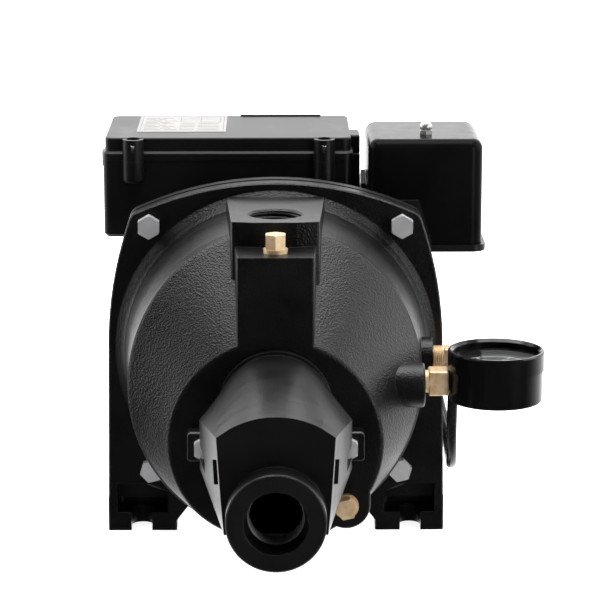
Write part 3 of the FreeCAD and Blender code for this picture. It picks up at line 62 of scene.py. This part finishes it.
def make_camera():
    lens = bpy.data.cameras.new("camera")
    lens.lens = CAMERA_LENS
    lens.sensor_width = CAMERA_SENSOR
    camera = bpy.data.objects.new("camera", lens)
    camera.location = CAMERA_PLACE
    camera.rotation_euler = (math.radians(90 - CAMERA_DOWN), 0, math.radians(CAMERA_TURN))
    scene.collection.objects.link(camera)
    scene.camera = camera


make_camera()


# ---------------------------------------------------------------- sensing tube
TUBE_ROUTE = ((0.1065, -0.0300, 0.0950), (0.1060, -0.0290, 0.0695), (0.1080, -0.0080, 0.0436),
              (0.1090, 0.0240, 0.0380), (0.1080, 0.0550, 0.0520), (0.1010, 0.0770, 0.0800),
              (0.0900, 0.0865, 0.1090), (0.0800, 0.0880, 0.1370))
TUBE_DIAMETER = 6.35 * MM     # 1/4 in


def make_sensing_tube():
    line = bpy.data.curves.new("sensing_line", "CURVE")
    line.dimensions = "3D"
    line.bevel_depth = 1.0            # multiplied by each point's radius
    line.bevel_resolution = 8
    line.resolution_u = 24
    line.use_fill_caps = True
    spline = line.splines.new("NURBS")
    spline.points.add(len(TUBE_ROUTE) - 1)
    for point, place in zip(spline.points, TUBE_ROUTE):
        point.co = (*place, 1)
        point.radius = TUBE_DIAMETER / 2
    spline.order_u = 3
    spline.use_endpoint_u = True
    tube = bpy.data.objects.new("sensing_line", line)
    scene.collection.objects.link(tube)
    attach(tube, "root")
    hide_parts("sensing_tube")
    return tube


sensing_line = make_sensing_tube()


# ---------------------------------------------------------------- material helpers
WAVE_PERIOD = 0.314           # between the bands of a wave texture of scale 1
BEVEL_SAMPLES = 4


class Finish:
    """A procedural material: its shader, and short calls for the nodes that feed it."""

    def __init__(self, name, roughness, metallic=0.0, ior=1.45, coat=0.0):
        self.name = name
        self.material = bpy.data.materials.new(name)
        self.material.use_nodes = True
        self.tree = self.material.node_tree
        self.shader = self.tree.nodes["Principled BSDF"]
        self.set("Metallic", metallic)
        self.set("IOR", ior)
        self.set("Roughness", roughness)
        self.set("Coat Weight", coat)
        self.place = self.node("TexCoord").outputs["Object"]

    def set(self, socket, value):
        self.shader.inputs[socket].default_value = value

    def node(self, kind):
        return self.tree.nodes.new("ShaderNode" + kind)

    def link(self, source, target):
        self.tree.links.new(source, target)

    def stretched(self, x, y, z):
        """Coordinates scaled along each axis, for grain that runs one way."""
        mapping = self.node("Mapping")
        mapping.inputs["Scale"].default_value = (x, y, z)
        self.link(self.place, mapping.inputs["Vector"])
        return mapping.outputs["Vector"]

    def noise(self, period, detail=2.0, along=None):
        """Smooth noise from 0 to 1 whose lumps are about period millimetres apart."""
        noise = self.node("TexNoise")
        noise.inputs["Scale"].default_value = 1 / (period * MM)
        noise.inputs["Detail"].default_value = detail
        self.link(along or self.place, noise.inputs["Vector"])
        return noise.outputs["Fac"]

    def cells(self, period):
        """Rounded pebbles about period millimetres apart."""
        cells = self.node("TexVoronoi")
        cells.feature = "SMOOTH_F1"
        cells.inputs["Scale"].default_value = 1 / (period * MM)
        self.link(self.place, cells.inputs["Vector"])
        return cells.outputs["Distance"]

    def stripes(self, period, axis):
        """Even lines square to an axis, period millimetres apart."""
        wave = self.node("TexWave")
        wave.bands_direction = axis
        wave.inputs["Scale"].default_value = WAVE_PERIOD / (period * MM)
        self.link(self.place, wave.inputs["Vector"])
        return wave.outputs["Fac"]

    def span(self, value, low, high, start=0.3, end=0.7):
        """A value from start to end, carried to low and high."""
        ranged = self.node("MapRange")
        limits = {"From Min": start, "From Max": end, "To Min": low, "To Max": high}
        for socket, number in limits.items():
            ranged.inputs[socket].default_value = number
        self.link(value, ranged.inputs["Value"])
        return ranged.outputs["Result"]

    def both(self, first, second, share):
        """Two patterns added, the second with its share."""
        sum_node = self.node("Math")
        sum_node.operation = "MULTIPLY_ADD"
        sum_node.inputs[1].default_value = share
        self.link(second, sum_node.inputs[0])
        self.link(first, sum_node.inputs[2])
        return sum_node.outputs["Value"]

    def colour(self, value, dark, light):
        """Base colour that wanders between two colours with a pattern."""
        mix = self.node("Mix")
        mix.data_type = "RGBA"
        mix.inputs["A"].default_value = (*dark, 1)
        mix.inputs["B"].default_value = (*light, 1)
        self.link(value, mix.inputs["Factor"])
        self.link(mix.outputs["Result"], self.shader.inputs["Base Color"])
        return self

    def gloss(self, value, low, high):
        """Roughness that wanders between low and high with a pattern."""
        self.link(self.span(value, low, high), self.shader.inputs["Roughness"])
        return self

    def relief(self, *layers, edge=0.0):
        """Bumps, each a pattern and its height in millimetres, coarse first, over soft edges."""
        normal = None
        if edge:
            soft_edge = self.node("Bevel")
            soft_edge.samples = BEVEL_SAMPLES
            soft_edge.inputs["Radius"].default_value = edge * MM
            normal = soft_edge.outputs["Normal"]
        for pattern, height in layers:
            bump = self.node("Bump")
            bump.inputs["Distance"].default_value = height * MM
            self.link(pattern, bump.inputs["Height"])
            if normal:
                self.link(normal, bump.inputs["Normal"])
            normal = bump.outputs["Normal"]
        self.link(normal, self.shader.inputs["Normal"])
        return self


def grey(level):
    return (level, level, level * 1.03)


# ---------------------------------------------------------------- finishes
def casting_enamel(name, shade, grain, roughness, ior=1.36):
    """Satin enamel over sand-cast iron: soft pebbles of grain on slow waves."""
    finish = Finish(name, roughness, ior=ior)
    patches = finish.noise(22, 3)
    sand = finish.noise(0.85, 3)
    pebbles = finish.cells(1.05)
    finish.colour(finish.span(patches, 0, 1), grey(shade * 0.7), grey(shade * 1.4))
    finish.gloss(finish.both(patches, sand, 0.4), roughness - 0.05, roughness + 0.08)
    return finish.relief((finish.noise(30, 2), 0.5), (pebbles, grain * 1.3), (sand, grain), edge=0.8)


def sheet_enamel(name, shade, roughness, peel=0.02, ior=1.3):
    """Sprayed enamel on smooth metal, with a faint orange peel."""
    finish = Finish(name, roughness, ior=ior)
    skin = finish.noise(2.6, 2)
    finish.colour(finish.span(finish.noise(30, 2), 0, 1), grey(shade * 0.8), grey(shade * 1.25))
    finish.gloss(finish.noise(9, 3), roughness - 0.02, roughness + 0.03)
    return finish.relief((finish.noise(60, 1), peel * 3), (skin, peel))


def moulding(name, dark, light, roughness, texture=0.02, ior=1.45):
    """Moulded plastic with a fine spark-eroded texture and slow flow marks."""
    finish = Finish(name, roughness, ior=ior)
    spark = finish.noise(0.55, 2)
    flow = finish.noise(26, 3, finish.stretched(1, 0.4, 1))
    finish.colour(finish.span(flow, 0, 1), dark, light)
    finish.gloss(finish.both(flow, spark, 0.5), roughness - 0.05, roughness + 0.08)
    return finish.relief((flow, 0.06), (spark, texture), edge=0.5)


def plated(name, tint, roughness, mottle=6.0, lines=0.004, metallic=1.0):
    """Plated or ground steel: cloudy tint and fine tool lines; chalky when less metallic."""
    finish = Finish(name, roughness, metallic=metallic)
    cloud = finish.noise(mottle, 4)
    tool = finish.noise(0.35, 1, finish.stretched(0.15, 1, 1))
    finish.colour(finish.span(cloud, 0, 1), [c * 0.86 for c in tint], tint)
    finish.gloss(finish.both(cloud, tool, 0.3), roughness - 0.08, roughness + 0.12)
    return finish.relief((cloud, 0.02), (tool, lines))


def machined_brass(name):
    """Turned brass, a little dulled, with darker copper stains."""
    finish = Finish(name, 0.3, metallic=0.6)
    stain = finish.noise(4.5, 4)
    tool = finish.noise(0.3, 1, finish.stretched(1, 1, 0.2))
    finish.colour(finish.span(stain, 0, 1, 0.4, 0.8), (0.68, 0.52, 0.33), (0.52, 0.29, 0.13))
    finish.gloss(finish.both(stain, tool, 0.4), 0.28, 0.5)
    return finish.relief((stain, 0.03), (tool, 0.006))


def machined_iron(name):
    """Cut cast iron, in the suction port's thread."""
    finish = Finish(name, 0.34, metallic=0.7)
    tool = finish.noise(0.4, 2, finish.stretched(1, 0.3, 1))
    finish.colour(finish.span(tool, 0, 1), grey(0.11), grey(0.2))
    return finish.relief((tool, 0.01))


def zinc_casting(name):
    """Die-cast zinc with a dull skin."""
    finish = Finish(name, 0.45, metallic=0.6)
    skin = finish.noise(1.2, 3)
    finish.colour(finish.span(finish.noise(5, 3), 0, 1), grey(0.55), grey(0.75))
    finish.gloss(skin, 0.36, 0.56)
    return finish.relief((finish.noise(8, 2), 0.05), (skin, 0.03))


def laminations(name):
    """Punched steel sheets seen on edge."""
    finish = Finish(name, 0.5, metallic=1.0)
    sheets = finish.stripes(0.65, "Y")
    finish.colour(sheets, grey(0.16), grey(0.4))
    finish.gloss(finish.noise(3, 3), 0.4, 0.6)
    return finish.relief((sheets, 0.08))


def magnet_wire(name):
    """Copper wires side by side under amber varnish."""
    finish = Finish(name, 0.3, metallic=1.0, coat=0.5)
    wires = finish.stripes(1.1, "DIAGONAL")
    finish.colour(wires, (0.28, 0.09, 0.03), (0.78, 0.36, 0.16))
    finish.gloss(finish.noise(2, 2), 0.25, 0.4)
    return finish.relief((wires, 0.3))


def pressed_fibre(name):
    """Dark gasket sheet of matted fibres."""
    finish = Finish(name, 0.9)
    fibres = finish.noise(0.7, 4, finish.stretched(1, 1, 0.3))
    finish.colour(finish.span(fibres, 0, 1), (0.008, 0.007, 0.006), (0.03, 0.027, 0.024))
    return finish.relief((fibres, 0.06))


def foil(name):
    """Satin silver foil, brushed along X."""
    finish = Finish(name, 0.42, metallic=0.15, ior=1.15)
    brush = finish.noise(0.25, 2, finish.stretched(0.05, 1, 1))
    finish.colour(finish.span(brush, 0, 1), (0.25, 0.243, 0.23), (0.32, 0.31, 0.295))
    finish.gloss(finish.noise(9, 2), 0.36, 0.5)
    return finish.relief((brush, 0.004))


def printed(name, dark, light):
    """Flat ink with a slightly uneven edge to its tone."""
    finish = Finish(name, 0.6, ior=1.05)
    grainy = finish.noise(0.4, 2)
    finish.colour(finish.span(grainy, 0, 1), dark, light)
    return finish.relief((grainy, 0.003))


def clear_lens(name):
    """Thin clear plastic, slightly uneven."""
    finish = Finish(name, 0.03, ior=1.03)
    finish.set("Transmission Weight", 1.0)
    finish.set("Base Color", (0.97, 0.99, 0.98, 1))
    return finish.relief((finish.noise(14, 1), 0.01))


def rubber(name):
    """Black rubber with a bloom of dust."""
    finish = Finish(name, 0.75)
    dust = finish.noise(3, 4)
    finish.colour(finish.span(dust, 0, 1), grey(0.012), grey(0.035))
    return finish.relief((dust, 0.04))


def extruded_nylon(name):
    """Glossy black tube with faint draw marks."""
    finish = Finish(name, 0.24, ior=1.4)
    marks = finish.noise(1.6, 2)
    finish.colour(finish.span(finish.noise(12, 2), 0, 1), grey(0.004), grey(0.009))
    finish.gloss(marks, 0.18, 0.3)
    return finish.relief((marks, 0.015))


FINISHES = {finish.name: finish for finish in (
    casting_enamel("casing_paint", shade=0.0025, grain=0.17, roughness=0.28),
    casting_enamel("ejector_paint", shade=0.0025, grain=0.06, roughness=0.28, ior=1.42),
    casting_enamel("adapter_paint", shade=0.0025, grain=0.05, roughness=0.36),
    sheet_enamel("motor_paint", shade=0.006, roughness=0.36, peel=0.04),
    sheet_enamel("cowl_paint", shade=0.006, roughness=0.3),
    moulding("box_plastic", grey(0.002), grey(0.004), roughness=0.34, texture=0.012, ior=1.32),
    sheet_enamel("cover_gloss", shade=0.003, roughness=0.2, peel=0.0004, ior=1.1),
    sheet_enamel("bracket_paint", shade=0.006, roughness=0.34),
    moulding("moulded_black", grey(0.008), grey(0.016), roughness=0.42),
    moulding("moulded_natural", (0.55, 0.5, 0.38), (0.72, 0.67, 0.54), roughness=0.45, texture=0.04),
    pressed_fibre("gasket"),
    rubber("rubber_black"),
    plated("zinc_steel", (0.36, 0.36, 0.37), roughness=0.45, metallic=0.3),
    plated("bearing_steel", (0.62, 0.62, 0.64), roughness=0.22),
    plated("spring_steel", (0.5, 0.5, 0.52), roughness=0.3),
    zinc_casting("zinc_cast"),
    plated("nickel", (0.5, 0.5, 0.48), roughness=0.3, mottle=12, lines=0.001, metallic=0.8),
    machined_brass("brass"),
    magnet_wire("copper"),
    laminations("lamination"),
    moulding("ceramic", (0.78, 0.76, 0.7), (0.88, 0.86, 0.8), roughness=0.25, texture=0.004),
    moulding("carbon", grey(0.02), grey(0.05), roughness=0.4, texture=0.01),
    foil("label_foil"),
    sheet_enamel("gauge_black", shade=0.002, roughness=0.14, peel=0.003, ior=1.35),
    clear_lens("window"),
    printed("dial_black", grey(0.006), grey(0.012)),
    printed("pointer_pale", grey(0.55), grey(0.65)),
    extruded_nylon("tube_black"),
)}
THREAD_METAL = machined_iron("machined_iron")
LABEL_INK = printed("label_ink", grey(0.15), grey(0.2))

for part in frame["record"]["subparts"]:
    for slot in nodes[part["node"]].material_slots:
        slot.material = FINISHES[part["material_slot"]].material
sensing_line.data.materials.append(FINISHES["tube_black"].material)


# ---------------------------------------------------------------- piece helpers
def add_piece(name, mesh, slot, body="root", finish=None):
    piece = bpy.data.objects.new(name, mesh)
    scene.collection.objects.link(piece)
    piece.data.materials.append((finish or FINISHES[slot]).material)
    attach(piece, body)
    return piece


def mesh_from(name, build):
    """A mesh filled in by build(bm)."""
    mesh = bpy.data.meshes.new(name)
    bm = bmesh.new()
    build(bm)
    bmesh.ops.recalc_face_normals(bm, faces=bm.faces)
    bm.to_mesh(mesh)
    bm.free()
    return mesh


def smooth(piece, angle=35):
    for face in piece.data.polygons:
        face.use_smooth = True
    piece.data.set_sharp_from_angle(angle=math.radians(angle))
    return piece


def slab(bm, x0, x1, y0, y1, z0, z1):
    corners = bmesh.ops.create_cube(bm, size=1)["verts"]
    size = Vector((x1 - x0, y1 - y0, z1 - z0))
    middle = Vector((x0 + x1, y0 + y1, z0 + z1)) / 2
    for corner in corners:
        corner.co = middle + Vector(a * b for a, b in zip(corner.co, size))


# ---------------------------------------------------------------- pipe threads
PIPE_PITCH = 2.209 * MM       # 1 in NPT
THREAD_DEPTH = 0.8 * MM
THREAD_SINK = 0.2 * MM        # how far its root goes into the wall
THREAD_STEPS = 64             # facets in one turn
THREAD_FADE = 0.6             # turns over which its ends rise
THREAD_CREST = (0.44, 0.56)   # where its flat crest is, in pitches


def thread(bm, to_place, wall, turns):
    """A helical ridge inside a round wall. It starts at the mouth and runs along +Z of to_place."""
    fade = THREAD_STEPS * THREAD_FADE
    total = int(turns * THREAD_STEPS)
    root = wall + THREAD_SINK
    crest_start, crest_end = (PIPE_PITCH * share for share in THREAD_CREST)
    rings = []
    for i in range(total + 1):
        turn = 2 * math.pi * i / THREAD_STEPS
        along = PIPE_PITCH * i / THREAD_STEPS
        crest = wall - THREAD_DEPTH * min(1.0, i / fade, (total - i) / fade)
        section = ((root, 0), (crest, crest_start), (crest, crest_end), (root, PIPE_PITCH))
        ring = []
        for radius, offset in section:
            at = Vector((radius * math.cos(turn), radius * math.sin(turn), along + offset))
            ring.append(bm.verts.new(to_place @ at))
        rings.append(ring)
    for a, b in zip(rings, rings[1:]):
        for j in range(4):
            k = (j + 1) % 4
            bm.faces.new((a[j], a[k], b[k], b[j]))
    bm.faces.new(rings[0])
    bm.faces.new(list(reversed(rings[-1])))


def port_mounts():
    """Each pipe port's name, its place with +Z inward, its radius and its depth."""
    mounts = {mount["name"]: mount for mount in frame["record"]["mounts"]}
    for name in ("suction_port", "discharge_port"):
        place = Vector(mounts[name]["pos_m"])
        inward = -Vector(mounts[name]["axis"])
        turn = inward.to_track_quat("Z", "Y").to_matrix().to_4x4()
        dims = mounts[name]["dims"]
        yield name, Matrix.Translation(place) @ turn, dims["r_mm"] * MM, dims["length_mm"] * MM


PORT_FINISH = {"suction_port": ("ejector_paint", THREAD_METAL),
               "discharge_port": ("casing_paint", FINISHES["casing_paint"])}
for port_name, port_place, port_r, port_depth in port_mounts():
    port_turns = port_depth / PIPE_PITCH - 1
    ridge = mesh_from(port_name + "_thread",
                      lambda bm: thread(bm, port_place, port_r, port_turns))
    port_slot, port_finish = PORT_FINISH[port_name]
    smooth(add_piece(port_name + "_thread", ridge, port_slot, finish=port_finish))


# ---------------------------------------------------------------- label print
INK_PROUD = 0.03 * MM         # how far the print stands over the foil
INK_SUNK = 0.02 * MM


def make_label_print():
    """Generic rows, a frame and a small table; no lettering.

    Places on the label run from 0 to 1, u across it and v up it.
    """
    low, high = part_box("rating_label")
    width, depth = high.x - low.x, high.y - low.y
    line = 0.008
    upright = line * 0.8
    frame_rows, frame_columns, frame_span = (0.05, 0.94), (0.03, 0.965), (0.05, 0.945)
    first_row, row_gap, row_height = 0.12, 0.088, 0.022
    row_lengths = (0.34, 0.27, 0.31, 0.22, 0.3, 0.25, 0.33, 0.2, 0.28)
    first_word = 0.55             # share of a row before its gap
    pair_rows, pair_gap, pair_height = 5, 0.09, 0.018
    table_rows, table_columns, table_span = (0.58, 0.72, 0.86), (0.47, 0.7, 0.925), (0.58, 0.868)

    def build(bm):
        def bar(u0, u1, v0, v1):
            slab(bm, low.x + u0 * width, low.x + u1 * width, low.y + v0 * depth, low.y + v1 * depth,
                 high.z - INK_SUNK, high.z + INK_PROUD)

        for v in frame_rows:
            bar(0.03, 0.97, v, v + line)
        for u in frame_columns:
            bar(u, u + upright, *frame_span)
        for row, length in enumerate(row_lengths):
            v = first_row + row_gap * row
            bar(0.07, 0.07 + length * first_word, v, v + row_height)
            bar(0.09 + length * 0.6, 0.1 + length, v, v + row_height)
        for row in range(pair_rows):
            v = first_row + pair_gap * row
            bar(0.47, 0.64, v, v + pair_height)
            bar(0.68, 0.91, v, v + pair_height)
        for v in table_rows:
            bar(0.47, 0.93, v, v + line)
        for u in table_columns:
            bar(u, u + upright, *table_span)

    add_piece("label_print", mesh_from("label_print", build), "label_foil", finish=LABEL_INK)


make_label_print()


# ---------------------------------------------------------------- gauge scale
GAUGE_SWEEP = 270.0           # degrees between the scale's ends
GAUGE_ZERO = 225.0            # degrees from +X
DIVISIONS = 50
TICK_STARTS = {10: 0.72, 5: 0.77, 1: 0.81}      # shares of the dial's radius, by how many divisions
TICK_END = 0.87
MAJOR_HALF_WIDTH, MINOR_HALF_WIDTH = 0.32 * MM, 0.16 * MM
TICK_HALF_HEIGHT = 0.05 * MM
ARC_INNER, ARC_OUTER = 0.862, 0.88
ARC_STEPS = 120
ARC_HEIGHT = 0.04 * MM
NUMBERS_AT = 0.58
NUMBER_SIZE = 4.2 * MM
NUMBER_STEP, NUMBER_COUNT = 20, 6
NUMBER_HEIGHT, NUMBER_EXTRUDE = 0.02 * MM, 0.04 * MM


def scale_angle(share):
    """The angle of a reading, from 0 at the scale's start to 1 at its end."""
    return math.radians(GAUGE_ZERO - GAUGE_SWEEP * share)


def make_dial_marks():
    low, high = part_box("gauge_dial")
    centre = (low + high) / 2
    radius = (high.x - low.x) / 2
    surface = high.z

    def tick(bm, angle, inner, half_width):
        turn = Matrix.Translation((centre.x, centre.y, 0)) @ Matrix.Rotation(angle, 4, "Z")
        before = set(bm.verts)
        slab(bm, inner, radius * TICK_END, -half_width, half_width,
             surface - TICK_HALF_HEIGHT, surface + TICK_HALF_HEIGHT)
        for corner in set(bm.verts) - before:
            corner.co = turn @ corner.co

    def build(bm):
        for i in range(DIVISIONS + 1):
            longest = next(every for every in TICK_STARTS if i % every == 0)
            half_width = MAJOR_HALF_WIDTH if longest == max(TICK_STARTS) else MINOR_HALF_WIDTH
            tick(bm, scale_angle(i / DIVISIONS), radius * TICK_STARTS[longest], half_width)
        for i in range(ARC_STEPS):
            start, end = scale_angle(i / ARC_STEPS), scale_angle((i + 1) / ARC_STEPS)
            corners = ((ARC_INNER, start), (ARC_OUTER, start), (ARC_OUTER, end), (ARC_INNER, end))
            bm.faces.new([bm.verts.new((centre.x + radius * share * math.cos(angle),
                                        centre.y + radius * share * math.sin(angle),
                                        surface + ARC_HEIGHT)) for share, angle in corners])

    add_piece("dial_marks", mesh_from("dial_marks", build), "pointer_pale")
    for i in range(NUMBER_COUNT):
        angle = scale_angle(i / (NUMBER_COUNT - 1))
        text = bpy.data.curves.new(f"dial_number_{i}", "FONT")
        text.body = str(NUMBER_STEP * i)
        text.size = NUMBER_SIZE
        text.extrude = NUMBER_EXTRUDE
        text.align_x, text.align_y = "CENTER", "CENTER"
        number = bpy.data.objects.new(f"dial_number_{i}", text)
        number.location = (centre.x + radius * NUMBERS_AT * math.cos(angle),
                           centre.y + radius * NUMBERS_AT * math.sin(angle), surface + NUMBER_HEIGHT)
        scene.collection.objects.link(number)
        text.materials.append(FINISHES["pointer_pale"].material)
        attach(number, "root")


make_dial_marks()


# ---------------------------------------------------------------- studio
FLOOR_HALF_SIDE = 8.0
FLOOR_GLOW = 0.9              # keeps the floor as white as the background
ROOM_FRONT, ROOM_BACK = 0.06, 2.5        # the room's brightness where it ends, as seen by the pump
ROOM_FADE = (-0.35, 0.9)      # the directions' Y between which it changes
ROOM_SEEN = 1.0               # its brightness as seen by the camera


def make_floor():
    mesh = mesh_from("floor", lambda bm: bmesh.ops.create_grid(bm, x_segments=2, y_segments=2,
                                                              size=FLOOR_HALF_SIDE))
    floor = bpy.data.objects.new("floor", mesh)
    scene.collection.objects.link(floor)
    finish = Finish("floor_pale", 0.9, ior=1.2)
    finish.colour(finish.span(finish.noise(180, 2), 0, 1), (0.9, 0.9, 0.9), (0.93, 0.93, 0.93))
    finish.relief((finish.noise(2, 2), 0.01))
    finish.set("Emission Color", (1, 1, 1, 1))
    finish.set("Emission Strength", FLOOR_GLOW)
    floor.data.materials.append(finish.material)
    floor.visible_glossy = False


def make_world():
    """A pale room: bright behind the pump, above and at the sides, dim in front."""
    world = bpy.data.worlds.new("studio")
    scene.world = world
    world.use_nodes = True
    tree = world.node_tree
    new, link = tree.nodes.new, tree.links.new
    room = tree.nodes["Background"]
    direction = new("ShaderNodeTexCoord").outputs["Generated"]
    parts = new("ShaderNodeSeparateXYZ")
    link(direction, parts.inputs["Vector"])
    depth = new("ShaderNodeMapRange")
    depth.interpolation_type = "SMOOTHSTEP"
    fade_start, fade_end = ROOM_FADE
    limits = {"From Min": fade_start, "From Max": fade_end, "To Min": ROOM_FRONT, "To Max": ROOM_BACK}
    for socket, number in limits.items():
        depth.inputs[socket].default_value = number
    link(parts.outputs["Y"], depth.inputs["Value"])
    link(depth.outputs["Result"], room.inputs["Strength"])
    plain = new("ShaderNodeBackground")
    plain.inputs["Color"].default_value = (1, 1, 1, 1)
    plain.inputs["Strength"].default_value = ROOM_SEEN
    room.inputs["Color"].default_value = (1, 1, 1, 1)
    mix = new("ShaderNodeMixShader")
    link(new("ShaderNodeLightPath").outputs["Is Camera Ray"], mix.inputs["Fac"])
    link(room.outputs["Background"], mix.inputs[1])
    link(plain.outputs["Background"], mix.inputs[2])
    link(mix.outputs["Shader"], tree.nodes["World Output"].inputs["Surface"])


def softbox(name, place, target, width, height, power):
    """A rectangular lamp, in metres and watts, that the camera doesn't see."""
    lamp = bpy.data.lights.new(name, "AREA")
    lamp.shape = "RECTANGLE"
    lamp.size, lamp.size_y = width, height
    lamp.energy = power
    light = bpy.data.objects.new(name, lamp)
    light.location = place
    light.rotation_euler = (Vector(target) - Vector(place)).to_track_quat("-Z", "Y").to_euler()
    light.visible_camera = False
    scene.collection.objects.link(light)


make_floor()
make_world()
softbox("top_softbox", (0, 0.0, 1.5), (0, 0, 0.1), width=1.6, height=1.0, power=36)
softbox("left_softbox", (-1.5, 0.3, 0.7), (0, 0, 0.1), width=1.2, height=1.4, power=12)
softbox("right_softbox", (1.5, 0.1, 0.7), (0, 0, 0.1), width=0.9, height=1.4, power=12)
softbox("right_strip", (1.1, -1.0, 0.35), (0.1, 0, 0.15), width=0.5, height=0.9, power=8)
scene.view_settings.view_transform = "Standard"
